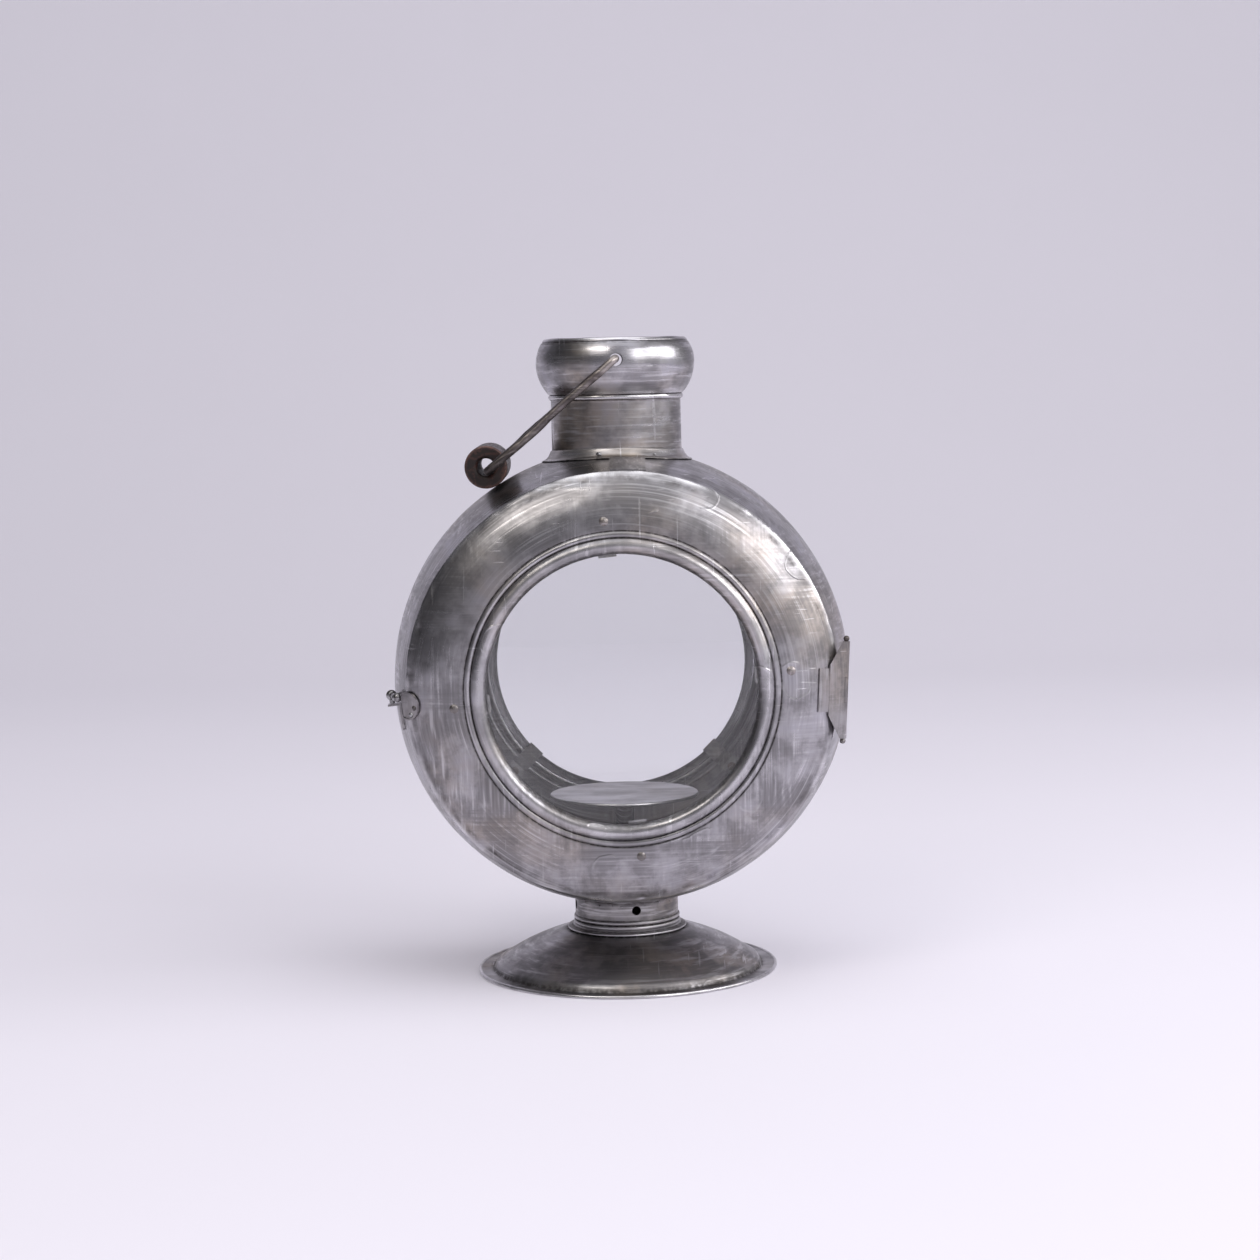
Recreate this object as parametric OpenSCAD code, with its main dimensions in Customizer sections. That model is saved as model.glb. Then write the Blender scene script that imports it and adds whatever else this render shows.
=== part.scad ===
// Round candle lantern of beaten sheet iron. A flattened drum stands on a collar and a
// dished foot. A glazed ring closes it at the back, and a second glazed ring is the door.
// A chimney neck carries the bail, whose wooden grip rests on the shoulder of the drum.
// Frame: +Z up, front towards -Y, origin on the floor below the middle of the drum.

/* [Sheet metal] */
// Gauge of the drum, its rings, the neck and the bulge
sheet = 0.8; // [0.6:0.05:1.2]
// Gauge of the spun foot and its collar
foot_sheet = 1; // [0.8:0.05:1.4]
// Gauge of the strips, leaves and latch parts
strip = 0.8; // [0.6:0.05:1.1]

/* [Foot] */
// Outer radius of the rim that the lantern stands on
foot_r = 78.6; // [76:0.1:86]
// Height of the foot's flat crown above the floor
foot_h = 22; // [19:0.5:28]
// Radius of the flat crown
foot_crown_r = 29; // [27.5:0.5:30]
// Width of the flat rim
foot_rim_w = 8.4; // [6:0.1:10]
// Height at which the dome ends in a step to the rim
foot_step_h = 4.4; // [3:0.1:6]
// How far the dome swells above a straight cone
foot_swell = 2; // [1:0.1:3]

/* [Collar] */
// Outer radius of the collar
collar_r = 27; // [26:0.1:29]
// Height from the foot's crown to the lowest point of the drum
collar_h = 14.7; // [13:0.1:24]
// Outer radius of the collar's flange
collar_flange_r = 31.2; // [30:0.1:34]
// Radius of the vent holes
vent_r = 2.35; // [1.5:0.05:2.8]
// Height of the vent holes above the foot's crown
vent_up = 12.4; // [10:0.1:12.6]
// Turn of the first vent hole from straight ahead, in degrees
vent_turn = 10.5; // [0:0.5:45]

/* [Drum] */
// Largest outer radius of the drum
drum_r = 118; // [112:0.5:128]
// Half the width of the wall, from the middle to a seam
wall_half_w = 58.6; // [50:0.2:66]
// How much smaller the wall's radius is at the seams
wall_swell = 9.7; // [7:0.1:12]
// Width of the wall's turned-in edges
wall_lip_w = 4.4; // [3:0.1:6]
// Radius of the middle flue hole under the neck
flue_r = 12; // [8:0.5:12.5]
// Radius of the ring of smaller flue holes round it
flue_hole_r = 5.5; // [3:0.1:6]
// Distance of those holes from the middle
flue_pitch_r = 22; // [19.5:0.1:23]
// Radius of the draught holes above the collar
draught_r = 4.5; // [3:0.1:5]
// Distance of the draught holes from the middle
draught_pitch_r = 16; // [15:0.1:18]
// Width of the lapped strap over the wall's joint
lap_w = 18; // [12:0.5:24]
// Sideways place of that strap
lap_off = 5; // [-8:0.5:8]

/* [Rings] */
// How far a ring's edge stands out past the seam
ring_lip = 0.6; // [0.3:0.1:1]
// Width of a ring's edge where it lies on the wall
ring_seat_w = 4; // [3:0.1:5]
// Depth of a ring's edge at the seam
ring_edge_d = 1.6; // [1.2:0.1:2.2]
// Half the drum's depth, at the flat between dish and bead
ring_face_y = 70.5; // [67:0.5:74]
// Radius where the dish ends and the beads begin
groove_r = 79.5; // [78:0.5:82]
// Radius of the clear window
window_r = 67.7; // [64:0.1:68.5]
// Radius of the round bead's section
bead_r = 4.2; // [3.6:0.1:4.3]
// Radius of the small outer ridge's section
ridge_r = 2; // [1.7:0.1:2.1]
// Running gap between the closed door and the wall
door_gap = 0.2; // [0.1:0.05:0.5]

/* [Glass] */
// Thickness of the panes
glass_t = 2; // [1.5:0.1:3]
// How far the panes reach under the bead
glass_lap = 4.3; // [3:0.1:5]
// How far the middle of a pane swells outwards
glass_swell = 2.5; // [1:0.1:3]
// Gap between a pane and what holds it
glass_gap = 0.1; // [0.05:0.05:0.3]

/* [Glass clips] */
// Distance of the clip rivets from the drum's axis
clip_rivet_r = 84.5; // [83:0.1:88]
// Width of a clip
clip_w = 9; // [6:0.5:12]
// How far a clip's end shows inside the window
clip_show = 1.4; // [0.5:0.1:3]
// Half the length of a clip's pad under its rivet
clip_pad = 3.8; // [3:0.1:4.5]
// Radius of the clip rivets' shanks
rivet_r = 1.2; // [0.9:0.05:1.5]
// Radius of the clip rivets' heads
rivet_head_r = 2.3; // [1.9:0.1:2.8]
// Turn of the front clips from the level, in degrees
front_clip_turn = 5.2; // [0:0.1:20]
// Turn of the rear clips from the level, in degrees
rear_clip_turn = 45; // [20:1:60]

/* [Candle plate] */
// Radius of the candle plate
plate_r = 39; // [30:0.5:44]
// Height of the plate's top above the lowest point of the drum
plate_up = 55.8; // [40:0.1:70]
// Thickness of the plate
plate_t = 1.2; // [0.8:0.1:2]
// Radius of the plate's stem
stem_r = 5; // [4:0.1:6]
// Radius of the stem's foot and head
stem_foot_r = 8; // [7:0.1:9]

/* [Neck] */
// Outer radius of the neck tube
neck_r = 33.6; // [32.4:0.1:35]
// Height from the drum's crest to the lower edge of the bulge
neck_h = 28.3; // [22:0.1:38]
// Radius of the flared collar at the neck's foot
flare_r = 39; // [38:0.1:41]
// Height to which the flared collar climbs up the neck
flare_climb = 4.2; // [3:0.1:6]
// Radius of the bead's section near the top of the neck
neck_bead_r = 1.5; // [1.2:0.1:1.7]

/* [Bulge] */
// Largest outer radius of the bulge
bulge_r = 41; // [40:0.1:43]
// Radius of the bulge's lower curve
bulge_low_r = 25; // [23:0.5:28]
// Radius of the bulge's upper curve
bulge_high_r = 17.8; // [16.5:0.1:19]
// Height of the lower curve
bulge_low_h = 16.5; // [15:0.1:17.5]
// Height of the upper curve
bulge_high_h = 10.1; // [9:0.1:11]
// Height of the rim above the bulge
rim_h = 2.4; // [2:0.1:3.5]
// Depth of the rim's inner lip
rim_lip_h = 1.1; // [0.8:0.1:2]

/* [Bail] */
// Radius of the bail wire
wire_r = 2.2; // [1.8:0.05:2.4]
// Radius of the bail's holes in the bulge
bail_hole_r = 3.3; // [3:0.05:3.6]
// Height of the bail's feet above the widest part of the bulge
bail_up = 1.5; // [0:0.1:2.5]
// How far the feet sit off the middle of their holes, each way
bail_play = 0.5; // [0.2:0.05:0.55]
// Length of the bail's arms, from feet to crossbar
arm_l = 85.8; // [82:0.1:92]
// Gap between the arms and the bulge
arm_gap = 0.4; // [0.3:0.05:1]
// How far the feet reach inside the bulge
foot_in = 5; // [3:0.5:8]
// Radius of the wire's bends
bend_r = 3.2; // [2.6:0.1:4]

/* [Grip] */
// Radius of the wooden grip
grip_r = 11; // [10:0.1:12]
// Length of the grip
grip_l = 56; // [46:0.5:66]
// Radius of the grip's bore
grip_bore_r = 4.5; // [4.2:0.05:5]
// Depth of the dished ends
grip_dish = 1.2; // [0.5:0.1:2]
// Gap between the grip and what it rests on
grip_gap = 0.3; // [0.2:0.05:0.5]

/* [Hinge] */
// How far the hinge sits below the level, in degrees
hinge_drop = 3; // [0:0.5:8]
// How far the hinge's middle lies up along its pin
hinge_up = 2.3; // [0:0.1:5]
// Length of the hinge's barrel
hinge_l = 49; // [40:0.5:56]
// Distance of the pin from the ring's edge
hinge_out = 2.5; // [2.3:0.05:3]
// Distance of the pin in front of the wall's edge
hinge_fore = 1.9; // [1.2:0.1:2.4]
// Outer radius of the barrel
knuckle_r = 1.8; // [1.6:0.05:1.9]
// Radius of the hinge pin
pin_r = 1; // [0.8:0.05:1.1]
// Radial clearance of the pin in its barrel
pin_play = 0.05; // [0.02:0.01:0.09]
// Length of the middle knuckle
mid_knuckle_l = 12.6; // [10:0.2:18]
// Gap between knuckles
knuckle_gap = 0.2; // [0.1:0.05:0.4]
// Half the length of the part of a leaf that is soldered down
leaf_half_l = 11; // [8:0.5:14]
// Width of the part of a leaf that is soldered down
leaf_flat_w = 5.4; // [4:0.1:7]

/* [Latch] */
// How far the latch sits below the level, in degrees
latch_drop = 6; // [3:0.5:9]
// Distance of the round plate's middle inside the ring's edge
latch_plate_in = 1.4; // [1:0.1:3]
// Height of the round plate's middle above the latch's level
latch_plate_up = 4.6; // [3:0.1:6]
// Radius of the round plate
latch_plate_r = 7.2; // [6.5:0.1:8]
// Height of the pivot above the latch's level
latch_pivot_up = 9; // [8:0.1:10]
// Length of the arm from pivot to ball
latch_arm_l = 14.5; // [13:0.1:16]
// Radius of the arm's rod
latch_rod_r = 1.4; // [1.1:0.05:1.6]
// Radius of the knob
ball_r = 2.7; // [2.2:0.1:3]
// Radius of the arm's boss at the pivot
boss_r = 2.4; // [2:0.1:2.6]
// Radius of the latch pivot
pivot_r = 0.9; // [0.7:0.05:1.1]
// Height of the keeper's shelf above the latch's level
shelf_up = 4.6; // [4:0.1:5.4]
// Gap between the latch's tooth and the shelf
tooth_gap = 0.3; // [0.2:0.05:0.5]
// Width of the keeper
keeper_w = 5.6; // [4:0.1:7]
// Length of the keeper's leg below its shelf
keeper_leg = 14; // [10:0.5:18]
// How far the shelf stands out from the wall
keeper_out = 6.2; // [5.6:0.1:7.5]

/* [Hidden] */
// Small clearance at soldered and seated joints
seat = 0.05;
// Overlap used where one solid is made of several shapes
bite = 0.02;

// Heights of the main parts, from the floor up
drum_z = foot_h + collar_h + drum_r;
crest_z = drum_z + drum_r;
bulge_z = crest_z + neck_h;
equator_z = bulge_z + bulge_low_h;
rim_z = equator_z + bulge_high_h;

// Wall: an arc through the crest and both seams
seam_r = drum_r - wall_swell;
wall_arc_r = (wall_half_w * wall_half_w + wall_swell * wall_swell) / (2 * wall_swell);
function wall_r(y) = drum_r - wall_arc_r + sqrt(wall_arc_r * wall_arc_r - y * y);
function wall_slope(y) = asin(y / wall_arc_r);

// Rings: the dish is an arc that runs level into the flat face by the beads
ring_r = seam_r + ring_lip;
ring_edge_y = wall_half_w + ring_edge_d;
dish_drop = ring_face_y - ring_edge_y;
dish_arc_r = (pow(ring_r - groove_r, 2) + dish_drop * dish_drop) / (2 * dish_drop);
dish_y = ring_face_y - dish_arc_r;
function dish_angle(r) = asin((r - groove_r) / dish_arc_r);
function dish_at(r, out = 0) = dish_y + sqrt(pow(dish_arc_r + out, 2) - pow(r - groove_r, 2));
back_y = ring_face_y - sheet;
bead_at = window_r + bead_r;
ridge_at = groove_r - 0.3 - sqrt(ridge_r * ridge_r - sheet * sheet);

// Panes: shallow caps seated on the inner foot of the bead
glass_r = window_r + glass_lap;
glass_arc_r = (glass_r * glass_r + glass_swell * glass_swell) / (2 * glass_swell);
glass_y = back_y - glass_gap - sqrt(glass_arc_r * glass_arc_r - window_r * window_r);
glass_edge_back = glass_y + sqrt(pow(glass_arc_r - glass_t, 2) - glass_r * glass_r);

// Bail: the grip rests on the drum's shoulder
pivot_z = equator_z + bail_up;
arm_y = bulge_r + arm_gap + wire_r;
grip_sag = grip_bore_r - wire_r - 0.2;
grip_reach = sqrt(arm_l * arm_l + grip_sag * grip_sag);
grip_rest = drum_r + grip_r + grip_gap;
pivot_up = pivot_z - drum_z;
bail_from_down = acos((pivot_up * pivot_up + grip_reach * grip_reach - grip_rest * grip_rest)
    / (2 * pivot_up * grip_reach));
bail_below_level = 90 - bail_from_down + atan(grip_sag / arm_l);

// Hinge: pin centre in the hinge's own turned frame
pin_x = ring_r + hinge_out;
pin_y = -(wall_half_w + hinge_fore);

// Latch: directions along and square to the wall beside the latch
latch_mid_y = wall_half_w - 8.6;
latch_turn = wall_slope(latch_mid_y);
latch_along = [sin(latch_turn), cos(latch_turn)];
latch_out = [cos(latch_turn), -sin(latch_turn)];
latch_c_r = ring_r - latch_plate_in;
latch_c_angle = dish_angle(latch_c_r);
lug_stand = 2.1;
pivot_xy = [wall_r(latch_mid_y + 6) + lug_stand, -(latch_mid_y + 6)];
arm_off = 1.7 + boss_r - 2.4;
ball_xy = pivot_xy + latch_arm_l * latch_along + arm_off * latch_out;

iron = [0.56, 0.55, 0.54];
dark_iron = [0.36, 0.34, 0.32];
solder_grey = [0.66, 0.65, 0.64];
pane = [0.8, 0.85, 0.88, 0.35];
dark_wood = [0.2, 0.12, 0.1];

$fn = 72;
fine = 180;

// Puts a shape turned about its own Z axis on the drum's axis, its +Z towards the front
module on_drum_axis() translate([0, 0, drum_z]) rotate([90, 0, 0]) children();

// A frame at the right edge: X outwards, Z along the hinge pin
module at_hinge() translate([0, 0, drum_z]) rotate([0, hinge_drop, 0]) children();

// A frame at the left edge: X outwards, Z up along the wall
module at_latch() translate([0, 0, drum_z]) rotate([0, -latch_drop, 0]) mirror([1, 0, 0]) children();

// Everything inside the drum's wall, grown by a clearance
module drum_body(grow = 0) on_drum_axis() rotate_extrude($fn = fine) intersection() {
    translate([drum_r - wall_arc_r, 0]) circle(wall_arc_r + grow, $fn = 2 * fine);
    translate([0, -wall_half_w]) square([drum_r + 2, 2 * wall_half_w]);
}

// A layer that lies on the wall, between two distances from it and two places along it
module wall_section(low, high, y_a, y_b) intersection() {
    translate([drum_r - wall_arc_r, 0]) difference() {
        circle(wall_arc_r + high, $fn = 2 * fine);
        circle(wall_arc_r + low, $fn = 2 * fine);
    }
    translate([seam_r / 2, y_a]) square([drum_r, y_b - y_a]);
}

module wall_layer(low, high, y_a, y_b) on_drum_axis() rotate_extrude($fn = fine)
    wall_section(low, high, y_a, y_b);

// A layer that lies on a ring's dish, between two distances from it and two radii
module dish_layer(low, high, r_a, r_b) on_drum_axis() rotate_extrude($fn = fine) intersection() {
    translate([groove_r, dish_y]) difference() {
        circle(dish_arc_r + high, $fn = fine);
        circle(dish_arc_r + low, $fn = fine);
    }
    translate([r_a, dish_y]) square([r_b - r_a, dish_arc_r + high + 1]);
}

// Section of the foot's dome: a strip of an arc from the crown to the step
dome_end_r = foot_r - foot_rim_w - 1.2;
dome_dr = dome_end_r - foot_crown_r;
dome_dz = foot_h - foot_step_h;
dome_chord = sqrt(dome_dr * dome_dr + dome_dz * dome_dz);
dome_lean = atan(dome_dz / dome_dr);
dome_arc_r = (dome_chord * dome_chord / 4 + foot_swell * foot_swell) / (2 * foot_swell);
dome_half = asin(dome_chord / 2 / dome_arc_r);
dome_c = [
    (foot_crown_r + dome_end_r) / 2 - (dome_arc_r - foot_swell) * sin(dome_lean),
    (foot_h + foot_step_h) / 2 - (dome_arc_r - foot_swell) * cos(dome_lean)
];
function dome_point(turn, r) = dome_c + r * [sin(turn), cos(turn)];

module dome_section() intersection() {
    translate(dome_c) difference() {
        circle(dome_arc_r, $fn = 2 * fine);
        circle(dome_arc_r - foot_sheet, $fn = 2 * fine);
    }
    polygon([
        dome_c,
        dome_point(dome_lean - dome_half, dome_arc_r * 1.2),
        dome_point(dome_lean + dome_half, dome_arc_r * 1.2)
    ]);
}

module foot_dish() color(iron) {
    rim_in = foot_r - foot_rim_w;
    hem = 1.4;
    end_turn = dome_lean + dome_half;
    under = foot_h - foot_sheet;
    rotate_extrude($fn = fine) {
        polygon([
            [0, under], [foot_crown_r - 0.4, under], [foot_crown_r + 0.4, under + 0.35],
            [foot_crown_r + 0.4, foot_h - 0.45], [foot_crown_r - 0.2, foot_h], [0, foot_h]
        ]);
        dome_section();
        polygon([
            [rim_in - 0.7, 0], [rim_in + 1.2, 0], [rim_in + 1.2, foot_sheet], [rim_in + 0.7, foot_sheet],
            [rim_in - 0.1, foot_sheet + 1.4], [rim_in - 0.9, foot_step_h - 0.7],
            dome_point(end_turn - 0.35, dome_arc_r - foot_sheet * 0.25),
            dome_point(end_turn - 0.35, dome_arc_r - foot_sheet * 0.75),
            [dome_end_r - 0.45, foot_step_h - 1.1]
        ]);
        translate([rim_in, 0]) square([foot_rim_w - 0.3, foot_sheet]);
        polygon([
            [foot_r - hem - 0.4, 0], [foot_r, 0], [foot_r, 1.2],
            [foot_r - 0.3, 1.6], [foot_r - hem, 1.6], [foot_r - hem - 0.4, foot_sheet]
        ]);
    }
}

module foot_collar() color(iron) {
    ridge_w = 1.3;
    difference() {
        translate([0, 0, foot_h]) rotate_extrude($fn = fine) difference() {
            union() {
                square([collar_r, collar_h + drum_r / 8]);
                polygon([
                    [0, 0], [collar_flange_r, 0], [collar_flange_r, 0.8],
                    [collar_r + 2.2, 1.1], [collar_r + 1.1, 2.2], [collar_r, 3.4], [0, 3.4]
                ]);
                translate([collar_r - 0.4, 3.2]) circle(ridge_w);
                translate([collar_r - 0.5, 5.7]) circle(ridge_w);
            }
            square([collar_r - foot_sheet, collar_h + drum_r]);
        }
        drum_body(seat);
        for (turn = [0 : 90 : 270]) translate([0, 0, foot_h + vent_up])
            rotate([90, 0, vent_turn + turn]) cylinder(r = vent_r, h = collar_flange_r);
    }
}

module side_wall() color(iron) difference() {
    on_drum_axis() rotate_extrude($fn = fine) {
        wall_section(-sheet, 0, -wall_half_w, wall_half_w);
        for (s = [-1, 1]) translate([seam_r - wall_lip_w, s * (wall_half_w - sheet / 2) - sheet / 2])
            square([wall_lip_w - sheet / 4, sheet]);
    }
    translate([0, 0, drum_z + drum_r / 2]) cylinder(r = flue_r, h = drum_r);
    for (turn = [0 : 45 : 315]) rotate([0, 0, turn])
        translate([flue_pitch_r, 0, drum_z + drum_r / 2]) cylinder(r = flue_hole_r, h = drum_r);
    for (turn = [45 : 90 : 315]) rotate([0, 0, turn])
        translate([draught_pitch_r, 0, drum_z - drum_r - 1]) cylinder(r = draught_r, h = drum_r / 2);
}

// The strap over the wall's joint shows before and behind the neck's flared foot
module wall_lap_strap() color(iron) difference() {
    intersection() {
        wall_layer(seat, seat + strip, -wall_half_w + sheet, wall_half_w - sheet);
        translate([lap_off - lap_w / 2, -wall_half_w, drum_z]) cube([lap_w, 2 * wall_half_w, drum_r + 5]);
    }
    translate([0, 0, drum_z]) cylinder(r = flare_r + 0.3, h = drum_r + 5, $fn = fine);
}

// Section of a ring from its edge on the wall to the window, front face up
module ring_section(gap) {
    difference() {
        intersection() {
            translate([groove_r, dish_y]) circle(dish_arc_r, $fn = fine);
            translate([groove_r, dish_y]) square([ring_r - groove_r, dish_arc_r]);
        }
        translate([groove_r, dish_y]) circle(dish_arc_r - sheet, $fn = fine);
        translate([groove_r - 1, dish_y - 1]) square([ring_r, wall_half_w + gap - dish_y + 1]);
    }
    intersection() {
        translate([groove_r, dish_y]) circle(dish_arc_r, $fn = fine);
        translate([ring_r - ring_seat_w, wall_half_w + gap]) square([ring_seat_w, ring_edge_d + 0.6 - gap]);
    }
    difference() {
        union() {
            translate([bead_at, back_y]) square([groove_r - bead_at + bite, sheet]);
            translate([bead_at, back_y]) circle(bead_r);
            translate([ridge_at, back_y]) circle(ridge_r);
        }
        translate([bead_at, back_y]) circle(bead_r - sheet);
        translate([ridge_at, back_y]) circle(ridge_r - sheet);
        translate([window_r - 1, back_y - 2 * bead_r]) square([groove_r, 2 * bead_r]);
    }
}

// Places something at the clip rivets' seats: X along the dish, Z out of it
module at_clip_rivets(first) for (turn = [0 : 90 : 270]) on_drum_axis() rotate([0, 0, first + turn])
    translate([groove_r, 0, dish_y]) rotate([0, dish_angle(clip_rivet_r), 0]) children();

module rivet_holes(first) at_clip_rivets(first)
    translate([0, 0, dish_arc_r - 3]) cylinder(r = rivet_r + seat, h = 5, $fn = 32);

module ring(gap, first) difference() {
    on_drum_axis() rotate_extrude($fn = fine) ring_section(gap);
    rivet_holes(first);
}

module pane_solid() on_drum_axis() rotate_extrude($fn = fine) intersection() {
    translate([0, glass_y]) difference() {
        circle(glass_arc_r, $fn = 4 * fine);
        circle(glass_arc_r - glass_t, $fn = 4 * fine);
    }
    translate([0, back_y / 2]) square([glass_r, back_y]);
}

// A clip lies flat under its rivet, steps down past the pane's edge and presses on its back
module clip_set(first) {
    turn = dish_angle(clip_rivet_r);
    top = dish_arc_r - sheet - 0.2;
    function pad(s, d) = [groove_r, dish_y] + s * [cos(turn), -sin(turn)] + d * [sin(turn), cos(turn)];
    grip_y = glass_edge_back - glass_gap;
    difference() {
        for (k = [0 : 90 : 270]) on_drum_axis() rotate([0, 0, first + k]) rotate([90, 0, 0])
            translate([0, 0, -clip_w / 2]) linear_extrude(clip_w) polygon([
                pad(-clip_pad, top), pad(clip_pad, top), pad(clip_pad, top - strip),
                pad(-clip_pad, top - strip), [glass_r + 3, grip_y - strip],
                [window_r - clip_show, grip_y - strip], [window_r - clip_show, grip_y],
                [glass_r + 2.4, grip_y]
            ]);
        rivet_holes(first);
    }
}

// Domed head of a rivet, standing on the level
module rivet_dome(r, h) rotate_extrude() intersection() {
    translate([0, h - (r * r + h * h) / (2 * h)]) circle((r * r + h * h) / (2 * h));
    square([r, h]);
}

// A rivet: domed head outside, shank, flat head inside
module clip_rivet_set(first) at_clip_rivets(first) {
    inside = dish_arc_r - sheet - 0.2 - strip;
    translate([0, 0, inside - seat - 0.6]) cylinder(r = rivet_head_r, h = 0.6, $fn = 32);
    translate([0, 0, inside - seat - bite]) cylinder(r = rivet_r, h = dish_arc_r - inside + 0.3, $fn = 32);
    translate([0, 0, dish_arc_r + seat]) rivet_dome(rivet_head_r, 0.9);
}

module candle_stem() color(dark_iron) {
    low = drum_z - sqrt(pow(wall_r(stem_foot_r) - sheet, 2) - stem_foot_r * stem_foot_r) + seat;
    top = drum_z - drum_r + plate_up - plate_t;
    translate([0, 0, low]) rotate_extrude() polygon([
        [0, 0], [stem_foot_r, 0], [stem_foot_r, 0.8], [stem_r + 1, 1.4], [stem_r, 2.6],
        [stem_r, top - low - 2.6], [stem_r + 1, top - low - 1.4], [stem_foot_r, top - low - 0.8],
        [stem_foot_r, top - low], [0, top - low]
    ]);
}

module candle_plate() color(solder_grey) {
    hem = 1.2;
    translate([0, 0, drum_z - drum_r + plate_up]) rotate_extrude($fn = fine) {
        translate([0, -plate_t]) square([plate_r - 0.5, plate_t]);
        translate([plate_r - 0.9, -0.9]) circle(0.9);
        translate([plate_r - 0.9 - hem, -plate_t - 0.6]) square([hem, 0.7]);
    }
}

// Flared collar round the neck's foot. Its section is carried round the neck and rides on
// the drum: each point is a radius and a height above the wall below it.
flare_steps = 72;
flare_in = neck_r + seat;
function crest_at(x, y) = drum_z + sqrt(pow(wall_r(y), 2) - x * x);
flare_curve = [for (k = [0 : 5]) let (t = k / 5, r = flare_r - 1.2 - t * (flare_r - 1.9 - flare_in))
    [r, sheet + seat + (flare_climb - sheet) * t * t]];
flare_section = concat(
    [[flare_in, seat + 0.1], [flare_r, seat + 0.1], [flare_r, sheet * 0.6 + seat + 0.1]],
    flare_curve,
    [[flare_in, flare_climb + 0.4]]
);

module neck_flare() color(iron) {
    m = len(flare_section);
    points = [for (i = [0 : flare_steps - 1]) let (a = 360 * i / flare_steps)
        for (p = flare_section) let (x = p[0] * cos(a), y = p[0] * sin(a)) [x, y, crest_at(x, y) + p[1]]];
    faces = [for (i = [0 : flare_steps - 1]) for (j = [0 : m - 1])
        let (n = (i + 1) % flare_steps, k = (j + 1) % m)
        for (f = [[i * m + j, i * m + k, n * m + k], [i * m + j, n * m + k, n * m + j]]) f];
    polyhedron(points, faces);
}

module neck_tube() color(iron) difference() {
    rotate_extrude($fn = fine) difference() {
        union() {
            translate([0, drum_z]) square([neck_r, bulge_z + 1.5 - drum_z]);
            translate([neck_r - 0.2, bulge_z - neck_bead_r]) circle(neck_bead_r);
        }
        translate([0, drum_z - 1]) square([neck_r - sheet, bulge_z]);
    }
    drum_body(seat);
}

module bail_holes() translate([bail_play, 0, pivot_z - bail_play]) rotate([90, 0, 0])
    cylinder(r = bail_hole_r, h = 4 * bulge_r, center = true);

module top_bulge() color(iron) difference() {
    rotate_extrude($fn = fine) {
        intersection() {
            translate([bulge_r - bulge_low_r, equator_z]) difference() {
                circle(bulge_low_r, $fn = fine);
                circle(bulge_low_r - sheet, $fn = fine);
            }
            translate([bulge_r - bulge_low_r, bulge_z]) square([bulge_low_r + 1, bulge_low_h]);
        }
        intersection() {
            translate([bulge_r - bulge_high_r, equator_z]) difference() {
                circle(bulge_high_r, $fn = fine);
                circle(bulge_high_r - sheet, $fn = fine);
            }
            translate([bulge_r - bulge_high_r, equator_z]) square([bulge_high_r + 1, bulge_high_h]);
        }
    }
    bail_holes();
}

module top_rim() color(iron) {
    edge_r = bulge_r - bulge_high_r + sqrt(pow(bulge_high_r, 2) - pow(bulge_high_h, 2));
    translate([0, 0, rim_z]) rotate_extrude($fn = fine) polygon([
        [edge_r - 0.5, 0], [edge_r - 0.6, rim_h * 0.35], [edge_r - 1.4, rim_h * 0.8],
        [edge_r - 2.2, rim_h], [edge_r - 3, rim_h * 0.95], [edge_r - 3.5, rim_h * 0.7],
        [edge_r - 3.5, -rim_lip_h], [edge_r - 2.7, -rim_lip_h], [edge_r - 2.7, 0]
    ]);
}

// A frame in the bail's plane: X from the feet to the crossbar, Y along the crossbar
module in_bail() translate([0, 0, pivot_z]) rotate([0, 180 - bail_below_level, 0]) children();

module wire(from, length, turn) translate(from) rotate([0, 0, turn]) rotate([0, 90, 0])
    cylinder(r = wire_r, h = length, $fn = 48);

module wire_bend(at, start) translate(at) rotate([0, 0, start])
    rotate_extrude(angle = 90, $fn = 72) translate([bend_r, 0]) circle(wire_r, $fn = 48);

module bail_wire() color(dark_iron) {
    inside_y = bulge_r - sheet - foot_in;
    in_bail() for (s = [0, 1]) mirror([0, s, 0]) {
        wire([0, inside_y, 0], arm_y - bend_r - inside_y, 90);
        wire_bend([bend_r, arm_y - bend_r, 0], 90);
        wire([bend_r, arm_y, 0], arm_l - 2 * bend_r, 0);
        wire_bend([arm_l - bend_r, arm_y - bend_r, 0], 0);
        wire([arm_l, 0, 0], arm_y - bend_r, 90);
    }
}

module grip_roller() color(dark_wood) in_bail() translate([arm_l, 0, -grip_sag]) rotate([90, 0, 0])
    rotate_extrude($fn = 96) difference() {
        polygon([
            [0, -grip_l / 2], [grip_r - 1, -grip_l / 2], [grip_r - 0.3, -grip_l / 2 + 0.3],
            [grip_r, -grip_l / 2 + 1.2], [grip_r, grip_l / 2 - 1.2],
            [grip_r - 0.3, grip_l / 2 - 0.3], [grip_r - 1, grip_l / 2], [0, grip_l / 2]
        ]);
        translate([0, -grip_l]) square([grip_bore_r, 2 * grip_l]);
        for (s = [-1, 1]) polygon([
            [0, s * (grip_l / 2 + 1)], [grip_bore_r + grip_dish + 1, s * (grip_l / 2 + 1)],
            [grip_bore_r + grip_dish, s * grip_l / 2], [0, s * (grip_l / 2 - grip_dish - grip_bore_r)]
        ]);
    }

// Tubes of a hinge barrel between two places along the pin
module knuckle(z_a, z_b) translate([pin_x, pin_y, z_a]) cylinder(r = knuckle_r, h = z_b - z_a, $fn = 48);

module pin_bore() translate([pin_x, pin_y, hinge_up - hinge_l])
    cylinder(r = pin_r + pin_play, h = 2 * hinge_l, $fn = 48);

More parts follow.
